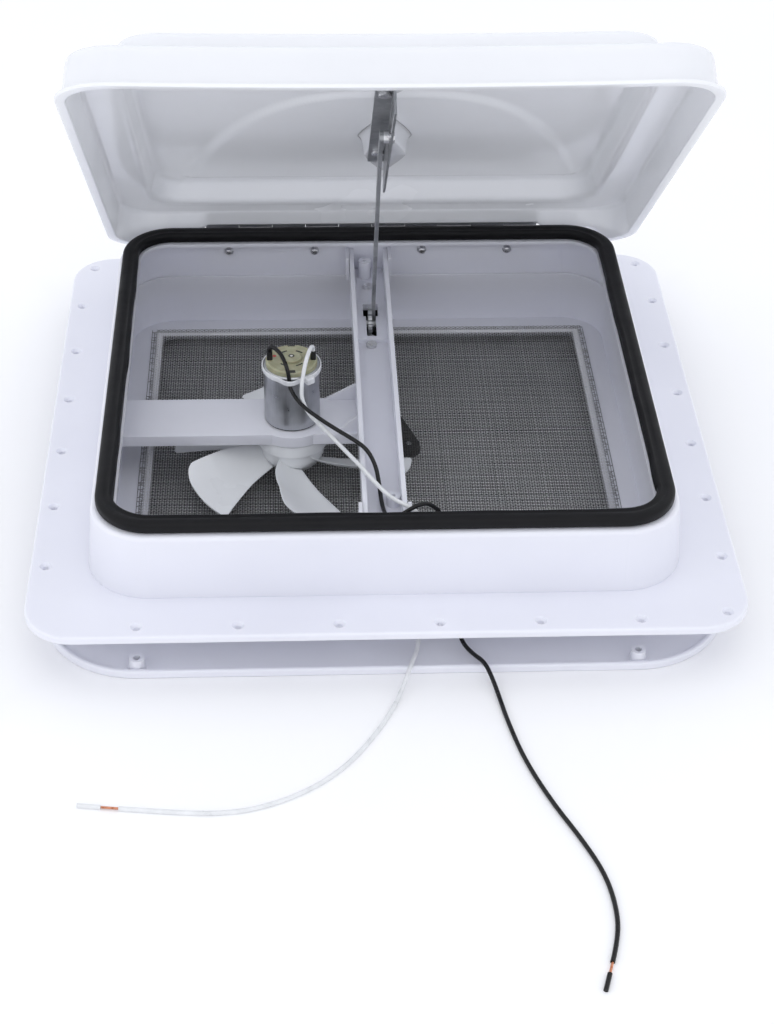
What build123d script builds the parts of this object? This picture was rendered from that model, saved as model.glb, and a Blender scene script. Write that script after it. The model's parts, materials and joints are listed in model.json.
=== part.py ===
from build123d import *
import math
import os

# Caravan roof vent: a moulded base on the roof, a lift-up lid, a fan on a bridge, a trim frame
# and an insect screen from inside, and two motor leads that lie on the table in front.
# Z is up, -Y is the front, the origin is the centre of the trim frame's four screws on the table.

os.makedirs("parts", exist_ok=True)

# Shared clearances
overrun = 1.0
running_gap = 0.05
slide_gap = 0.3
soft_gap = 0.3
wall = 2.5

# Roof base
flange_out = 43.0
flange_corner_r = 31.0
flange_t = 5.0
flange_edge_r = 1.5
roof_room = 32.5
curb_foot_out = 6.4
curb_draft_in = 4.0
curb_corner_r = 40.0
curb_h = 44.0
curb_edge_r = 3.0
ledge_t = 2.5
ledge_in = 13.25
hole_spacing = 62.0
holes_per_side = 6
hole_out = 33.3
corner_hole_out = 27.7
hole_r = 2.0
hole_sink_r = 3.8

# Trim frame that closes the opening from inside
plate_t = 2.5
garnish_out = 36.6
garnish_corner_r = 62.0
rim_h = 6.0
rim_w = 3.6
rim_edge_r = 1.5
collar_half = 182.0
collar_t = 3.5
collar_h = 50.0
collar_corner_r = 34.0
opening_in = 25.5
opening_corner_r = 8.0
ledge_top_z = 11.0
boss_in = 25.3
boss_out = 28.0
boss_r = 5.5
boss_top_r = 4.5
boss_h = 8.0
boss_hole_r = 2.25
notch_left = -5.0
notch_right = 50.0
notch_low_z = 13.0
notch_high_z = 28.0

# Insect screen
screen_in = 15.0
screen_corner_r = 12.0
screen_t = 0.8
screen_gaps = 16
screen_strand = 3.0
bush_r = 7.0
bush_rim_r = 8.5
bush_rim_t = 1.0
bush_seat_r = 12.0

# Sealing ring on the curb
gasket_in = 0.5
gasket_corner_r = 35.0
gasket_w = 11.75
gasket_h = 8.5
gasket_edge_r = 2.0

# Hinge
hinge_out = 11.0
hinge_z = 88.0
hinge_len = 250.0
hinge_knuckles = 10
knuckle_gap = 0.3
barrel_r = 3.0
hinge_pin_r = 1.25
leaf_t = 1.5
leaf_drop = 26.0
lid_leaf_h = 9.0
land_margin = 4.0
screw_out_x = 105.0
screw_in_x = 40.5
screw_drop = 16.5
hinge_screw_r = 2.0
hinge_screw_head_r = 4.0
hinge_screw_head_t = 2.0
hinge_nut_r = 4.2
hinge_nut_t = 3.0
rivet_r = 1.5
rivet_head_r = 3.0
rivet_head_t = 1.2

# Lid
lid_shift_x = 3.0
lid_rim_z = 71.2
lid_rim_out = 10.5
lid_corner_r = 31.0
lip_out = 3.5
lip_t = 2.5
skirt_h = 27.2
skirt_draft = 5.9
lid_t = 2.7
lid_edge_r = 6.0
panel_h = 14.8
panel_in = 20.5
panel_draft = 31.0
panel_corner_r = 20.0
arch_h = 5.0
arch_draft = 55.0
arch_foot_x = 130.0
arch_foot_y = 124.0
arch_back_y = 143.0
arch_tip_y = -38.0
bead_in = 4.0
bead_w = 5.0
bead_corner_r = 31.0
notch_in = 14.0
notch_taper_x = 15.0
notch_margin = 0.8
open_deg = 43.6

# Lid bracket, in the closed lid
bracket_left = -4.5
bracket_right = 8.0
bracket_t = 1.5
bracket_rise = 0.3
bracket_front_y = -117.0
bracket_back_y = 51.0
bracket_tip_y = 71.0
bracket_web_h = 19.5
pad_w = 28.0
pad_len = 54.0
pad_front_y = -102.0
pad_back_y = 26.0
bracket_screw_r = 2.0
bracket_screw_head_r = 4.2
bracket_screw_head_t = 2.4
bracket_screw_len = 11.0

# Lift arm and its worm drive
pivot_y = 112.0
pivot_z = 49.0
arm_pin_y = 18.38
arm_pin_z = 249.32
arm_x = 0.2
arm_t = 2.5
arm_w = 8.0
arm_offset = 8.0
arm_jog = 24.0
arm_hub_r = 6.5
gear_t = 2.8
gear_r = 18.0
gear_teeth = 24
gear_tooth_h = 1.9
gear_count = 7
gear_hub_r = 6.0
axle_r = 2.5
pin_r = 2.5
pin_head_r = 4.2
pin_head_t = 1.5
slot_error_low = 3.5
slot_error_high = 2.3
slot_near = 36.0
slot_far = 106.0
lid_pin_h = 13.2
worm_r = 5.4
worm_root_r = 3.6
worm_h = 12.0
mesh_gap = 0.1
crank_shaft_r = 3.0

# Operator housing under the bridge floor
housing_half_x = 10.8
housing_wall = 2.4
housing_front_y = 79.5
housing_back_y = 137.0
housing_h = 26.0
housing_lug_t = 3.0
operator_screw_front_y = 72.5
operator_screw_back_y = 152.8
operator_screw_r = 1.8
operator_screw_head_r = 3.8
operator_screw_head_t = 2.2
operator_screw_len = 9.0
lug_r = 6.0

# Crank and knob
crank_len = 75.0
crank_turn_deg = -70.4
crank_t = 3.6
crank_w = 15.0
crank_hub_r = 8.0
crank_under = 0.7
knob_r = 8.5
knob_h = 3.0
knob_pin_r = 2.0
knob_pin_head_r = 3.2
knob_pin_head_t = 0.8

# Bridge
bridge_left = -14.4
bridge_right = 13.9
bridge_floor_z = 55.0
bridge_wall_t = 3.0
bridge_top_z = 73.0
platform_t = 3.0
slot_narrow_w = 7.2
slot_wide_w = 10.8
slot_centre_x = -0.5
slot_front_y = 81.0
slot_step_y = 108.0
slot_back_y = 125.0
rear_boss_x = -3.0
rear_boss_y = 169.0
rear_boss_h = 14.0
front_boss_x = 6.2
front_boss_y = -115.0
front_boss_h = 7.0
bridge_boss_r = 4.65
bridge_boss_hole_r = 1.5
socket_wall = 2.4
socket_len = 43.0
socket_h = 19.0
rib_t = 2.5
rib_h = 13.0

# Motor arm, part of the bridge
motor_x = -58.5
motor_y = -7.0
motor_arm_z = 50.0
motor_arm_front_y = -29.5
motor_arm_back_y = 14.5
motor_arm_lip = 8.0
ring_r = 26.5
gusset_t = 2.5
gusset_back_len = 21.6
gusset_front_len = 14.6
gusset_h = 12.5

# Motor
can_r = 19.0
can_h = 43.7
can_step = 0.8
can_foot_h = 1.0
can_bore_depth = 25.0
cap_r = 17.5
cap_h = 3.8
cap_dome_r = 7.0
cap_dome_h = 2.0
motor_shaft_r = 1.5
motor_bush_r = 5.0
motor_bush_h = 5.0
motor_screw_spacing = 25.4
motor_screw_r = 1.5
motor_screw_head_r = 2.8
motor_screw_head_t = 1.8
motor_screw_depth = 5.0
terminal_reach = 14.7
terminal_w = 2.8
terminal_t = 0.8
terminal_h = 4.0
sleeve_w = 5.0
sleeve_d = 4.0
sleeve_top_z = 101.0
tie_w = 3.6
tie_t = 1.0
tie_z = 86.0
tie_head_w = 6.0
tie_head_d = 4.5
tie_head_turn = -60.0

# Fan
fan_r = 81.5
fan_blades = 6
fan_blade_t = 1.8
fan_mid_z = 19.8
fan_pitch = 11.5
fan_hub_r = 23.8
fan_hub_top_z = 41.0
fan_hub_low_z = 14.5
fan_hub_edge_r = 3.0
fan_boss_r = 5.0
fan_start_deg = 36.0
blade_tip_half = 25.0
blade_root_half = 11.0
blade_sweep = 9.0
blade_corner_r = 12.0

# Leads: insulation, bare copper and the stub of insulation left on each end
lead_r = 1.4
core_r = 0.8
lead_table_z = 1.45

# Sizes that follow from the trim collar, and heights that follow from the sizes above
flange_side = 2 * (collar_half + flange_out)
curb_foot_half = collar_half + curb_foot_out
ledge_half = collar_half - ledge_in
hole_half = collar_half + hole_out
corner_hole_half = collar_half + corner_hole_out
garnish_side = 2 * (collar_half + garnish_out)
opening_half = collar_half - opening_in
boss_x = collar_half - boss_in
boss_y = collar_half + boss_out
screen_half = collar_half - screen_in
gasket_half = collar_half - gasket_in
bead_half = gasket_half - bead_in
lid_rim_half = collar_half + lid_rim_out
panel_base_half = collar_half - panel_in
notch_half_x = collar_half - notch_in
hinge_y = collar_half + hinge_out
flange_low_z = plate_t + roof_room
flange_top_z = flange_low_z + flange_t
curb_top_z = flange_top_z + curb_h
gasket_top_z = curb_top_z + gasket_h
curb_inner_half = collar_half - 0.43 * collar_t
curb_lower_half = collar_half + slide_gap + running_gap
inner_corner_r = collar_corner_r - 0.43 * collar_t
bridge_end_y = curb_inner_half
floor_low_z = bridge_floor_z - wall
lid_top_z = lid_rim_z + skirt_h
lid_under_z = lid_top_z - lid_t
panel_top_z = lid_top_z + panel_h
panel_under_z = panel_top_z - lid_t
worm_y = pivot_y - gear_r - worm_r - mesh_gap
drive_x = arm_x - 0.5 * gear_t
arm_len = math.hypot(pivot_y - arm_pin_y, arm_pin_z - pivot_z)
arm_rise = math.degrees(math.atan2(arm_pin_z - pivot_z, pivot_y - arm_pin_y))
can_low_z = motor_arm_z
can_top_z = can_low_z + can_h
cap_top_z = can_top_z + cap_h
screen_z = ledge_top_z
bracket_flange_top_z = lid_rim_z + skirt_h - bracket_t - bracket_rise
hinge_axis = Axis((0, hinge_y, hinge_z), (-1, 0, 0))
knuckle_pitch = hinge_len / hinge_knuckles
curb_draft_deg = math.degrees(math.atan(curb_draft_in / curb_h))
hinge_left = lid_shift_x - 0.5 * hinge_len


def square(half, corner):
    """A rounded square about the sketch origin."""
    RectangleRounded(2 * half, 2 * half, corner)


def hollow_square(half, corner, width):
    """A rounded square frame of the given width inwards."""
    RectangleRounded(2 * half, 2 * half, corner)
    RectangleRounded(2 * (half - width), 2 * (half - width), corner - width, mode=Mode.SUBTRACT)


def span(low_x, high_x, low_y, high_y):
    """A rectangle between two corners."""
    with Locations((0.5 * (low_x + high_x), 0.5 * (low_y + high_y))):
        Rectangle(high_x - low_x, high_y - low_y)


def bar(start, end, width):
    """A round-ended bar between two sketch points."""
    run_x = end[0] - start[0]
    run_y = end[1] - start[1]
    middle = (0.5 * (start[0] + end[0]), 0.5 * (start[1] + end[1]))
    with Locations(Location((middle[0], middle[1], 0), (0, 0, math.degrees(math.atan2(run_y, run_x))))):
        SlotCenterToCenter(math.hypot(run_x, run_y), width)


def side_holes():
    """The places of the flange screws: six to a side, and three of the four corners."""
    places = []
    first = -0.5 * (holes_per_side - 1) * hole_spacing
    for step in range(holes_per_side):
        along = first + step * hole_spacing
        for side in (-hole_half, hole_half):
            places.append((along, side, flange_top_z))
            places.append((side, along, flange_top_z))
    for corner_x, corner_y in ((1, 1), (-1, 1), (1, -1)):
        places.append((corner_x * corner_hole_half, corner_y * corner_hole_half, flange_top_z))
    return places


def opened(part):
    """A piece of the closed lid, turned to the open position."""
    return part.rotate(hinge_axis, open_deg)


# Roof base: flange, drafted curb wall, inward ledge, hinge land and two bridge sockets
with BuildPart() as roof_base:
    with BuildSketch(Plane.XY.offset(flange_low_z)):
        square(0.5 * flange_side, flange_corner_r)
    extrude(amount=flange_t)
    fillet(roof_base.faces().sort_by(Axis.Z)[-1].outer_wire().edges(), flange_edge_r)
    with BuildSketch(Plane.XY.offset(flange_top_z)):
        square(curb_foot_half, curb_corner_r)
    extrude(amount=curb_h, taper=curb_draft_deg)
    fillet(roof_base.faces().sort_by(Axis.Z)[-1].outer_wire().edges(), curb_edge_r)
    land_half_x = 0.5 * hinge_len + land_margin
    with BuildSketch(Plane.XY.offset(hinge_z - leaf_drop - land_margin)):
        span(
            lid_shift_x - land_half_x,
            lid_shift_x + land_half_x,
            curb_inner_half,
            hinge_y - barrel_r,
        )
    extrude(amount=leaf_drop - land_margin)
    with BuildSketch(Plane.XY.offset(flange_low_z)):
        square(curb_lower_half, inner_corner_r + curb_lower_half - curb_inner_half)
    extrude(amount=collar_h - flange_low_z, mode=Mode.SUBTRACT)
    with BuildSketch(Plane.XY.offset(collar_h)):
        square(curb_inner_half, inner_corner_r)
    extrude(amount=curb_top_z - ledge_t - collar_h, mode=Mode.SUBTRACT)
    with BuildSketch(Plane.XY.offset(curb_top_z - ledge_t)):
        square(ledge_half, inner_corner_r - curb_inner_half + ledge_half)
    extrude(amount=ledge_t + overrun, mode=Mode.SUBTRACT)
    with BuildSketch(Plane.XY.offset(bridge_floor_z)):
        for left, right in (
            (bridge_left - slide_gap - socket_wall, bridge_left - slide_gap),
            (bridge_right + slide_gap, bridge_right + slide_gap + socket_wall),
        ):
            span(left, right, -curb_inner_half - 0.2 * socket_wall, -curb_inner_half + socket_len)
            span(left, right, curb_inner_half - 0.4 * socket_len, curb_inner_half + 0.2 * socket_wall)
    extrude(amount=socket_h)
    with Locations(*side_holes()):
        CounterSinkHole(hole_r, hole_sink_r, flange_t)
    with Locations(
        *[
            Location((side_x, hinge_y - barrel_r, hinge_z - screw_drop), (90, 0, 0))
            for side_x in (-screw_out_x, -screw_in_x, screw_in_x, screw_out_x)
        ]
    ):
        Cylinder(hinge_screw_r + running_gap, 2 * (hinge_y - barrel_r - curb_inner_half + overrun), mode=Mode.SUBTRACT)
roof_base.part.label = "roof_base"
export_step(roof_base.part, "parts/roof_base.step")

# Sealing ring
with BuildPart() as lid_gasket:
    with BuildSketch(Plane.XY.offset(curb_top_z)):
        hollow_square(gasket_half, gasket_corner_r, gasket_w)
    extrude(amount=gasket_h)
    fillet(lid_gasket.faces().sort_by(Axis.Z)[-1].edges(), gasket_edge_r)
lid_gasket.part.label = "lid_gasket"
export_step(lid_gasket.part, "parts/lid_gasket.step")


def knuckle_places(first):
    """The start of every second knuckle along the hinge."""
    return [hinge_left + index * knuckle_pitch for index in range(first, hinge_knuckles, 2)]


# Hinge leaf on the base: a plate on the land, with every second knuckle
with BuildPart() as hinge_base_leaf:
    leaf_face_y = hinge_y - barrel_r
    with BuildSketch(Plane.XY.offset(hinge_z - leaf_drop)):
        span(hinge_left, hinge_left + hinge_len, leaf_face_y, leaf_face_y + leaf_t)
    extrude(amount=leaf_drop - barrel_r - knuckle_gap)
    for start in knuckle_places(0):
        with BuildSketch(Plane.XY.offset(hinge_z - leaf_drop)):
            span(start, start + knuckle_pitch - knuckle_gap, leaf_face_y, leaf_face_y + leaf_t)
        extrude(amount=leaf_drop)
        with BuildSketch(Plane.YZ.offset(start)):
            with Locations((hinge_y, hinge_z)):
                Circle(barrel_r)
        extrude(amount=knuckle_pitch - knuckle_gap)
    with BuildSketch(Plane.YZ.offset(hinge_left)):
        with Locations((hinge_y, hinge_z)):
            Circle(hinge_pin_r + running_gap)
    extrude(amount=hinge_len, mode=Mode.SUBTRACT)
    with Locations(
        *[
            Location((side_x, leaf_face_y, hinge_z - screw_drop), (90, 0, 0))
            for side_x in (-screw_out_x, -screw_in_x, screw_in_x, screw_out_x)
        ]
    ):
        Cylinder(hinge_screw_r + running_gap, 4 * leaf_t, mode=Mode.SUBTRACT)
hinge_base_leaf.part.label = "hinge_base_leaf"
export_step(hinge_base_leaf.part, "parts/hinge_base_leaf.step")

# Four hinge screws through the wall, each with its nut on the inside
with BuildPart() as hinge_screws:
    head_y = hinge_y - barrel_r + leaf_t
    for side_x in (-screw_out_x, -screw_in_x, screw_in_x, screw_out_x):
        with BuildSketch(Plane.XZ.offset(-head_y)):
            with Locations((side_x, hinge_z - screw_drop)):
                Circle(hinge_screw_head_r)
        extrude(amount=-hinge_screw_head_t)
        with BuildSketch(Plane.XZ.offset(-head_y)):
            with Locations((side_x, hinge_z - screw_drop)):
                Circle(hinge_screw_r)
        extrude(amount=head_y - curb_inner_half + hinge_nut_t)
        with BuildSketch(Plane.XZ.offset(-curb_inner_half)):
            with Locations((side_x, hinge_z - screw_drop)):
                RegularPolygon(hinge_nut_r, 6)
        extrude(amount=hinge_nut_t)
hinge_screws.part.label = "hinge_screws"
export_step(hinge_screws.part, "parts/hinge_screws.step")

# Trim frame: plate with a rolled rim, collar with its wire notch, ledge and screw bosses
with BuildPart() as garnish:
    with BuildSketch():
        square(0.5 * garnish_side, garnish_corner_r)
    extrude(amount=rim_h)
    fillet(garnish.faces().sort_by(Axis.Z)[0].edges(), rim_edge_r)
    with BuildSketch(Plane.XY.offset(plate_t)):
        square(0.5 * garnish_side - rim_w, garnish_corner_r - rim_w)
    extrude(amount=rim_h, mode=Mode.SUBTRACT)
    fillet(garnish.faces().sort_by(Axis.Z)[-1].edges(), 0.4 * rim_w)
    with BuildSketch():
        square(collar_half, collar_corner_r)
    extrude(amount=collar_h)
    with BuildSketch():
        square(collar_half - collar_t, collar_corner_r - collar_t)
    extrude(amount=collar_h + overrun, mode=Mode.SUBTRACT)
    with BuildSketch(Plane.XY.offset(ledge_top_z - wall)):
        square(collar_half - 0.5 * collar_t, collar_corner_r - 0.5 * collar_t)
    extrude(amount=wall)
    with BuildSketch(Plane.XY.offset(ledge_top_z - wall)):
        square(opening_half, opening_corner_r)
    extrude(amount=wall + overrun, mode=Mode.SUBTRACT)
    for side_x in (-boss_x, boss_x):
        for side_y in (-boss_y, boss_y):
            with BuildSketch(Plane.XY.offset(plate_t)):
                with Locations((side_x, side_y)):
                    Circle(boss_r)
            with BuildSketch(Plane.XY.offset(plate_t + boss_h)):
                with Locations((side_x, side_y)):
                    Circle(boss_top_r)
            loft()
    with BuildSketch():
        with Locations(*[(sx * boss_x, sy * boss_y) for sx in (-1, 1) for sy in (-1, 1)]):
            Circle(boss_hole_r)
    extrude(amount=plate_t + boss_h + overrun, mode=Mode.SUBTRACT)
    with BuildSketch(Plane.XY.offset(notch_low_z)):
        span(notch_left, notch_right, -collar_half - overrun, -collar_half + collar_t + overrun)
    extrude(amount=notch_high_z - notch_low_z, mode=Mode.SUBTRACT)
garnish.part.label = "garnish"
export_step(garnish.part, "parts/garnish.step")

# Insect screen: one sheet with a grid of gaps, and a solid seat for the crank bush
with BuildPart() as insect_screen:
    gap_pitch = 2 * opening_half / screen_gaps
    with BuildSketch(Plane.XY.offset(screen_z)):
        square(screen_half, screen_corner_r)
        with GridLocations(gap_pitch, gap_pitch, screen_gaps, screen_gaps):
            Rectangle(gap_pitch - screen_strand, gap_pitch - screen_strand, mode=Mode.SUBTRACT)
        with Locations((drive_x, worm_y)):
            Circle(bush_seat_r)
            Circle(bush_r + running_gap, mode=Mode.SUBTRACT)
    extrude(amount=screen_t)
insect_screen.part.label = "insect_screen"
export_step(insect_screen.part, "parts/insect_screen.step")

# Bush that the crank shaft passes through
with BuildPart() as crank_bush:
    with BuildSketch(Plane.XY.offset(screen_z)):
        with Locations((drive_x, worm_y)):
            Circle(bush_r)
    extrude(amount=screen_t)
    with BuildSketch(Plane.XY.offset(screen_z + screen_t)):
        with Locations((drive_x, worm_y)):
            Circle(bush_rim_r)
    extrude(amount=bush_rim_t)
    with BuildSketch(Plane.XY.offset(screen_z)):
        with Locations((drive_x, worm_y)):
            Circle(crank_shaft_r + running_gap)
    extrude(amount=screen_t + bush_rim_t, mode=Mode.SUBTRACT)
crank_bush.part.label = "crank_bush"
export_step(crank_bush.part, "parts/crank_bush.step")

# Bridge: open channel with the slot platform, bosses, front rib and the motor arm
with BuildPart() as bridge:
    with BuildSketch(Plane.XY.offset(floor_low_z)):
        span(bridge_left, bridge_right, -bridge_end_y, bridge_end_y)
    extrude(amount=bridge_top_z - floor_low_z)
    with BuildSketch(Plane.XY.offset(bridge_floor_z)):
        span(
            bridge_left + bridge_wall_t,
            bridge_right - bridge_wall_t,
            -bridge_end_y,
            bridge_end_y,
        )
    extrude(amount=bridge_top_z, mode=Mode.SUBTRACT)
    platform_front_y = operator_screw_front_y + operator_screw_head_r + slide_gap
    platform_back_y = slot_back_y + bridge_wall_t
    with BuildSketch(Plane.XY.offset(bridge_floor_z)):
        span(bridge_left + bridge_wall_t, bridge_right - bridge_wall_t, platform_front_y, platform_back_y)
    extrude(amount=platform_t)
    with BuildSketch(Plane.XY.offset(bridge_floor_z)):
        with Locations((rear_boss_x, rear_boss_y)):
            Circle(bridge_boss_r)
    extrude(amount=rear_boss_h)
    with BuildSketch(Plane.XY.offset(bridge_floor_z)):
        with Locations((front_boss_x, front_boss_y)):
            Circle(bridge_boss_r)
    extrude(amount=front_boss_h)
    with BuildSketch(Plane.XY.offset(bridge_floor_z)):
        rib_y = -bridge_end_y + socket_len
        span(bridge_left + bridge_wall_t, bridge_right - bridge_wall_t, rib_y, rib_y + rib_t)
    extrude(amount=0.3 * rib_h)
    # motor arm: a plate with turned-down lips, and a ring round the motor foot
    arm_left = -collar_half + collar_t + slide_gap + running_gap
    with BuildSketch(Plane.XY.offset(motor_arm_z - motor_arm_lip)):
        span(arm_left, bridge_left + bridge_wall_t, motor_arm_front_y, motor_arm_back_y)
        with Locations((motor_x, motor_y)):
            Circle(ring_r)
    extrude(amount=motor_arm_lip)
    with BuildSketch(Plane.XY.offset(motor_arm_z - motor_arm_lip)):
        span(arm_left + wall, bridge_left, motor_arm_front_y + wall, motor_arm_back_y - wall)
        with Locations((motor_x, motor_y)):
            Circle(ring_r - wall)
    extrude(amount=motor_arm_lip - wall, mode=Mode.SUBTRACT)
    with BuildSketch(Plane.XY.offset(motor_arm_z - motor_arm_lip)):
        span(bridge_left, bridge_left + bridge_wall_t, motor_arm_front_y, motor_arm_back_y)
    extrude(amount=floor_low_z - motor_arm_z + motor_arm_lip)
    # gussets from the motor arm up the channel wall
    for face_y, run in ((motor_arm_back_y, gusset_back_len), (motor_arm_front_y + 2 * gusset_t, gusset_front_len)):
        with BuildSketch(Plane.XZ.offset(-face_y)):
            with BuildLine():
                Polyline(
                    (bridge_left, motor_arm_z),
                    (bridge_left, motor_arm_z + gusset_h),
                    (bridge_left - run, motor_arm_z),
                    close=True,
                )
            make_face()
        extrude(amount=gusset_t)
    # slot for the lift arm, holes for the screws, the motor foot and its two screws
    with BuildSketch(Plane.XY.offset(floor_low_z)):
        span(
            slot_centre_x - 0.5 * slot_narrow_w,
            slot_centre_x + 0.5 * slot_narrow_w,
            slot_front_y,
            slot_back_y,
        )
        span(
            slot_centre_x - 0.5 * slot_wide_w,
            slot_centre_x + 0.5 * slot_wide_w,
            slot_step_y,
            slot_back_y,
        )
        with Locations((drive_x, operator_screw_front_y), (drive_x, operator_screw_back_y)):
            Circle(operator_screw_r + running_gap)
        with Locations((rear_boss_x, rear_boss_y), (front_boss_x, front_boss_y)):
            Circle(bridge_boss_hole_r)
    extrude(amount=bridge_top_z, mode=Mode.SUBTRACT)
    with BuildSketch(Plane.XY.offset(motor_arm_z - wall)):
        with Locations((motor_x, motor_y)):
            Circle(motor_bush_r + running_gap)
        with Locations(
            (motor_x - 0.5 * motor_screw_spacing, motor_y),
            (motor_x + 0.5 * motor_screw_spacing, motor_y),
        ):
            Circle(motor_screw_r + running_gap)
    extrude(amount=wall, mode=Mode.SUBTRACT)
bridge.part.label = "bridge"
export_step(bridge.part, "parts/bridge.step")

# Operator housing: a closed box open at the top, with a lug at each end and the axle bores
with BuildPart() as operator_housing:
    with BuildSketch(Plane.XY.offset(floor_low_z - housing_h)):
        span(drive_x - housing_half_x, drive_x + housing_half_x, housing_front_y, housing_back_y)
    extrude(amount=housing_h)
    fillet(operator_housing.edges().filter_by(Axis.Z), housing_wall)
    with BuildSketch(Plane.XY.offset(floor_low_z - housing_lug_t)):
        bar((drive_x, operator_screw_front_y), (drive_x, operator_screw_back_y), 2 * lug_r)
    extrude(amount=housing_lug_t)
    with BuildSketch(Plane.XY.offset(floor_low_z - housing_h + housing_wall)):
        span(
            drive_x - housing_half_x + housing_wall,
            drive_x + housing_half_x - housing_wall,
            housing_front_y + housing_wall,
            housing_back_y - housing_wall,
        )
    extrude(amount=housing_h, mode=Mode.SUBTRACT)
    with BuildSketch(Plane.XY.offset(floor_low_z - housing_h)):
        with Locations((drive_x, worm_y)):
            Circle(crank_shaft_r + running_gap)
        with Locations((drive_x, operator_screw_front_y), (drive_x, operator_screw_back_y)):
            Circle(operator_screw_r + running_gap)
    extrude(amount=housing_h, mode=Mode.SUBTRACT)
    with BuildSketch(Plane.YZ.offset(drive_x - housing_half_x)):
        with Locations((pivot_y, pivot_z)):
            Circle(axle_r)
    extrude(amount=2 * housing_half_x, mode=Mode.SUBTRACT)
operator_housing.part.label = "operator_housing"
export_step(operator_housing.part, "parts/operator_housing.step")

with BuildPart() as gear_axle:
    with BuildSketch(Plane.YZ.offset(drive_x - housing_half_x)):
        with Locations((pivot_y, pivot_z)):
            Circle(axle_r)
    extrude(amount=2 * housing_half_x)
gear_axle.part.label = "gear_axle"
export_step(gear_axle.part, "parts/gear_axle.step")

with BuildPart() as operator_screws:
    for screw_y in (operator_screw_front_y, operator_screw_back_y):
        with BuildSketch(Plane.XY.offset(bridge_floor_z)):
            with Locations((drive_x, screw_y)):
                Circle(operator_screw_head_r)
        extrude(amount=operator_screw_head_t)
        with BuildSketch(Plane.XY.offset(bridge_floor_z)):
            with Locations((drive_x, screw_y)):
                Circle(operator_screw_r)
        extrude(amount=-operator_screw_len)
operator_screws.part.label = "operator_screws"
export_step(operator_screws.part, "parts/operator_screws.step")

# Motor: stepped can with its shaft bore, end cap, bush, screws, terminals, sleeves and tie
motor_axis = Axis((motor_x, motor_y, 0), (0, 0, 1))
motor_plane = Plane(origin=(motor_x, motor_y, 0), x_dir=(1, 0, 0), z_dir=(0, -1, 0))
with BuildPart() as motor_can:
    with BuildSketch(motor_plane):
        with BuildLine():
            Polyline(
                (motor_shaft_r + running_gap, can_low_z),
                (can_r - can_step, can_low_z),
                (can_r - can_step, can_low_z + can_foot_h),
                (can_r, can_low_z + can_foot_h),
                (can_r, can_top_z - can_step),
                (can_r - can_step, can_top_z),
                (0, can_top_z),
                (0, can_low_z + can_bore_depth),
                (motor_shaft_r + running_gap, can_low_z + can_bore_depth),
                close=True,
            )
        make_face()
    revolve(axis=motor_axis)
    with Locations(
        (motor_x - 0.5 * motor_screw_spacing, motor_y, can_low_z),
        (motor_x + 0.5 * motor_screw_spacing, motor_y, can_low_z),
    ):
        Cylinder(motor_screw_r, 2 * motor_screw_depth, mode=Mode.SUBTRACT)
motor_can.part.label = "motor_can"
export_step(motor_can.part, "parts/motor_can.step")

with BuildPart() as motor_bush:
    with BuildSketch(Plane.XY.offset(can_low_z)):
        with Locations((motor_x, motor_y)):
            Circle(motor_bush_r)
            Circle(motor_shaft_r + running_gap, mode=Mode.SUBTRACT)
    extrude(amount=-motor_bush_h)
motor_bush.part.label = "motor_bush"
export_step(motor_bush.part, "parts/motor_bush.step")

with BuildPart() as motor_screws:
    for side in (-0.5, 0.5):
        with BuildSketch(Plane.XY.offset(motor_arm_z - wall)):
            with Locations((motor_x + side * motor_screw_spacing, motor_y)):
                Circle(motor_screw_head_r)
        extrude(amount=-motor_screw_head_t)
        with BuildSketch(Plane.XY.offset(motor_arm_z - wall)):
            with Locations((motor_x + side * motor_screw_spacing, motor_y)):
                Circle(motor_screw_r)
        extrude(amount=wall + motor_screw_depth)
motor_screws.part.label = "motor_screws"
export_step(motor_screws.part, "parts/motor_screws.step")

terminal_places = [(motor_x - terminal_reach, motor_y), (motor_x + terminal_reach, motor_y)]
with BuildPart() as motor_end_cap:
    with BuildSketch(motor_plane):
        with BuildLine():
            Polyline(
                (0, can_top_z),
                (cap_r, can_top_z),
                (cap_r, can_top_z + 0.7 * cap_h),
                (cap_r - 0.3 * cap_h, cap_top_z),
                (cap_dome_r, cap_top_z),
                (cap_dome_r, cap_top_z + 0.7 * cap_dome_h),
                (0.8 * cap_dome_r, cap_top_z + cap_dome_h),
                (0, cap_top_z + cap_dome_h),
                close=True,
            )
        make_face()
    revolve(axis=motor_axis)
motor_end_cap.part.label = "motor_end_cap"
export_step(motor_end_cap.part, "parts/motor_end_cap.step")

with BuildPart() as motor_terminals:
    with BuildSketch(Plane.XY.offset(cap_top_z)):
        with Locations(*terminal_places):
            Rectangle(terminal_t, terminal_w)
    extrude(amount=terminal_h)
motor_terminals.part.label = "motor_terminals"
export_step(motor_terminals.part, "parts/motor_terminals.step")

with BuildPart() as terminal_sleeves:
    with BuildSketch(Plane.XY.offset(cap_top_z)):
        with Locations(*terminal_places):
            RectangleRounded(sleeve_d, sleeve_w, 0.3 * sleeve_d)
    extrude(amount=sleeve_top_z + wall - cap_top_z)
    with BuildSketch(Plane.XY.offset(cap_top_z)):
        with Locations(*terminal_places):
            Rectangle(terminal_t, terminal_w)
    extrude(amount=terminal_h, mode=Mode.SUBTRACT)
terminal_sleeves.part.label = "terminal_sleeves"
export_step(terminal_sleeves.part, "parts/terminal_sleeves.step")

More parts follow.
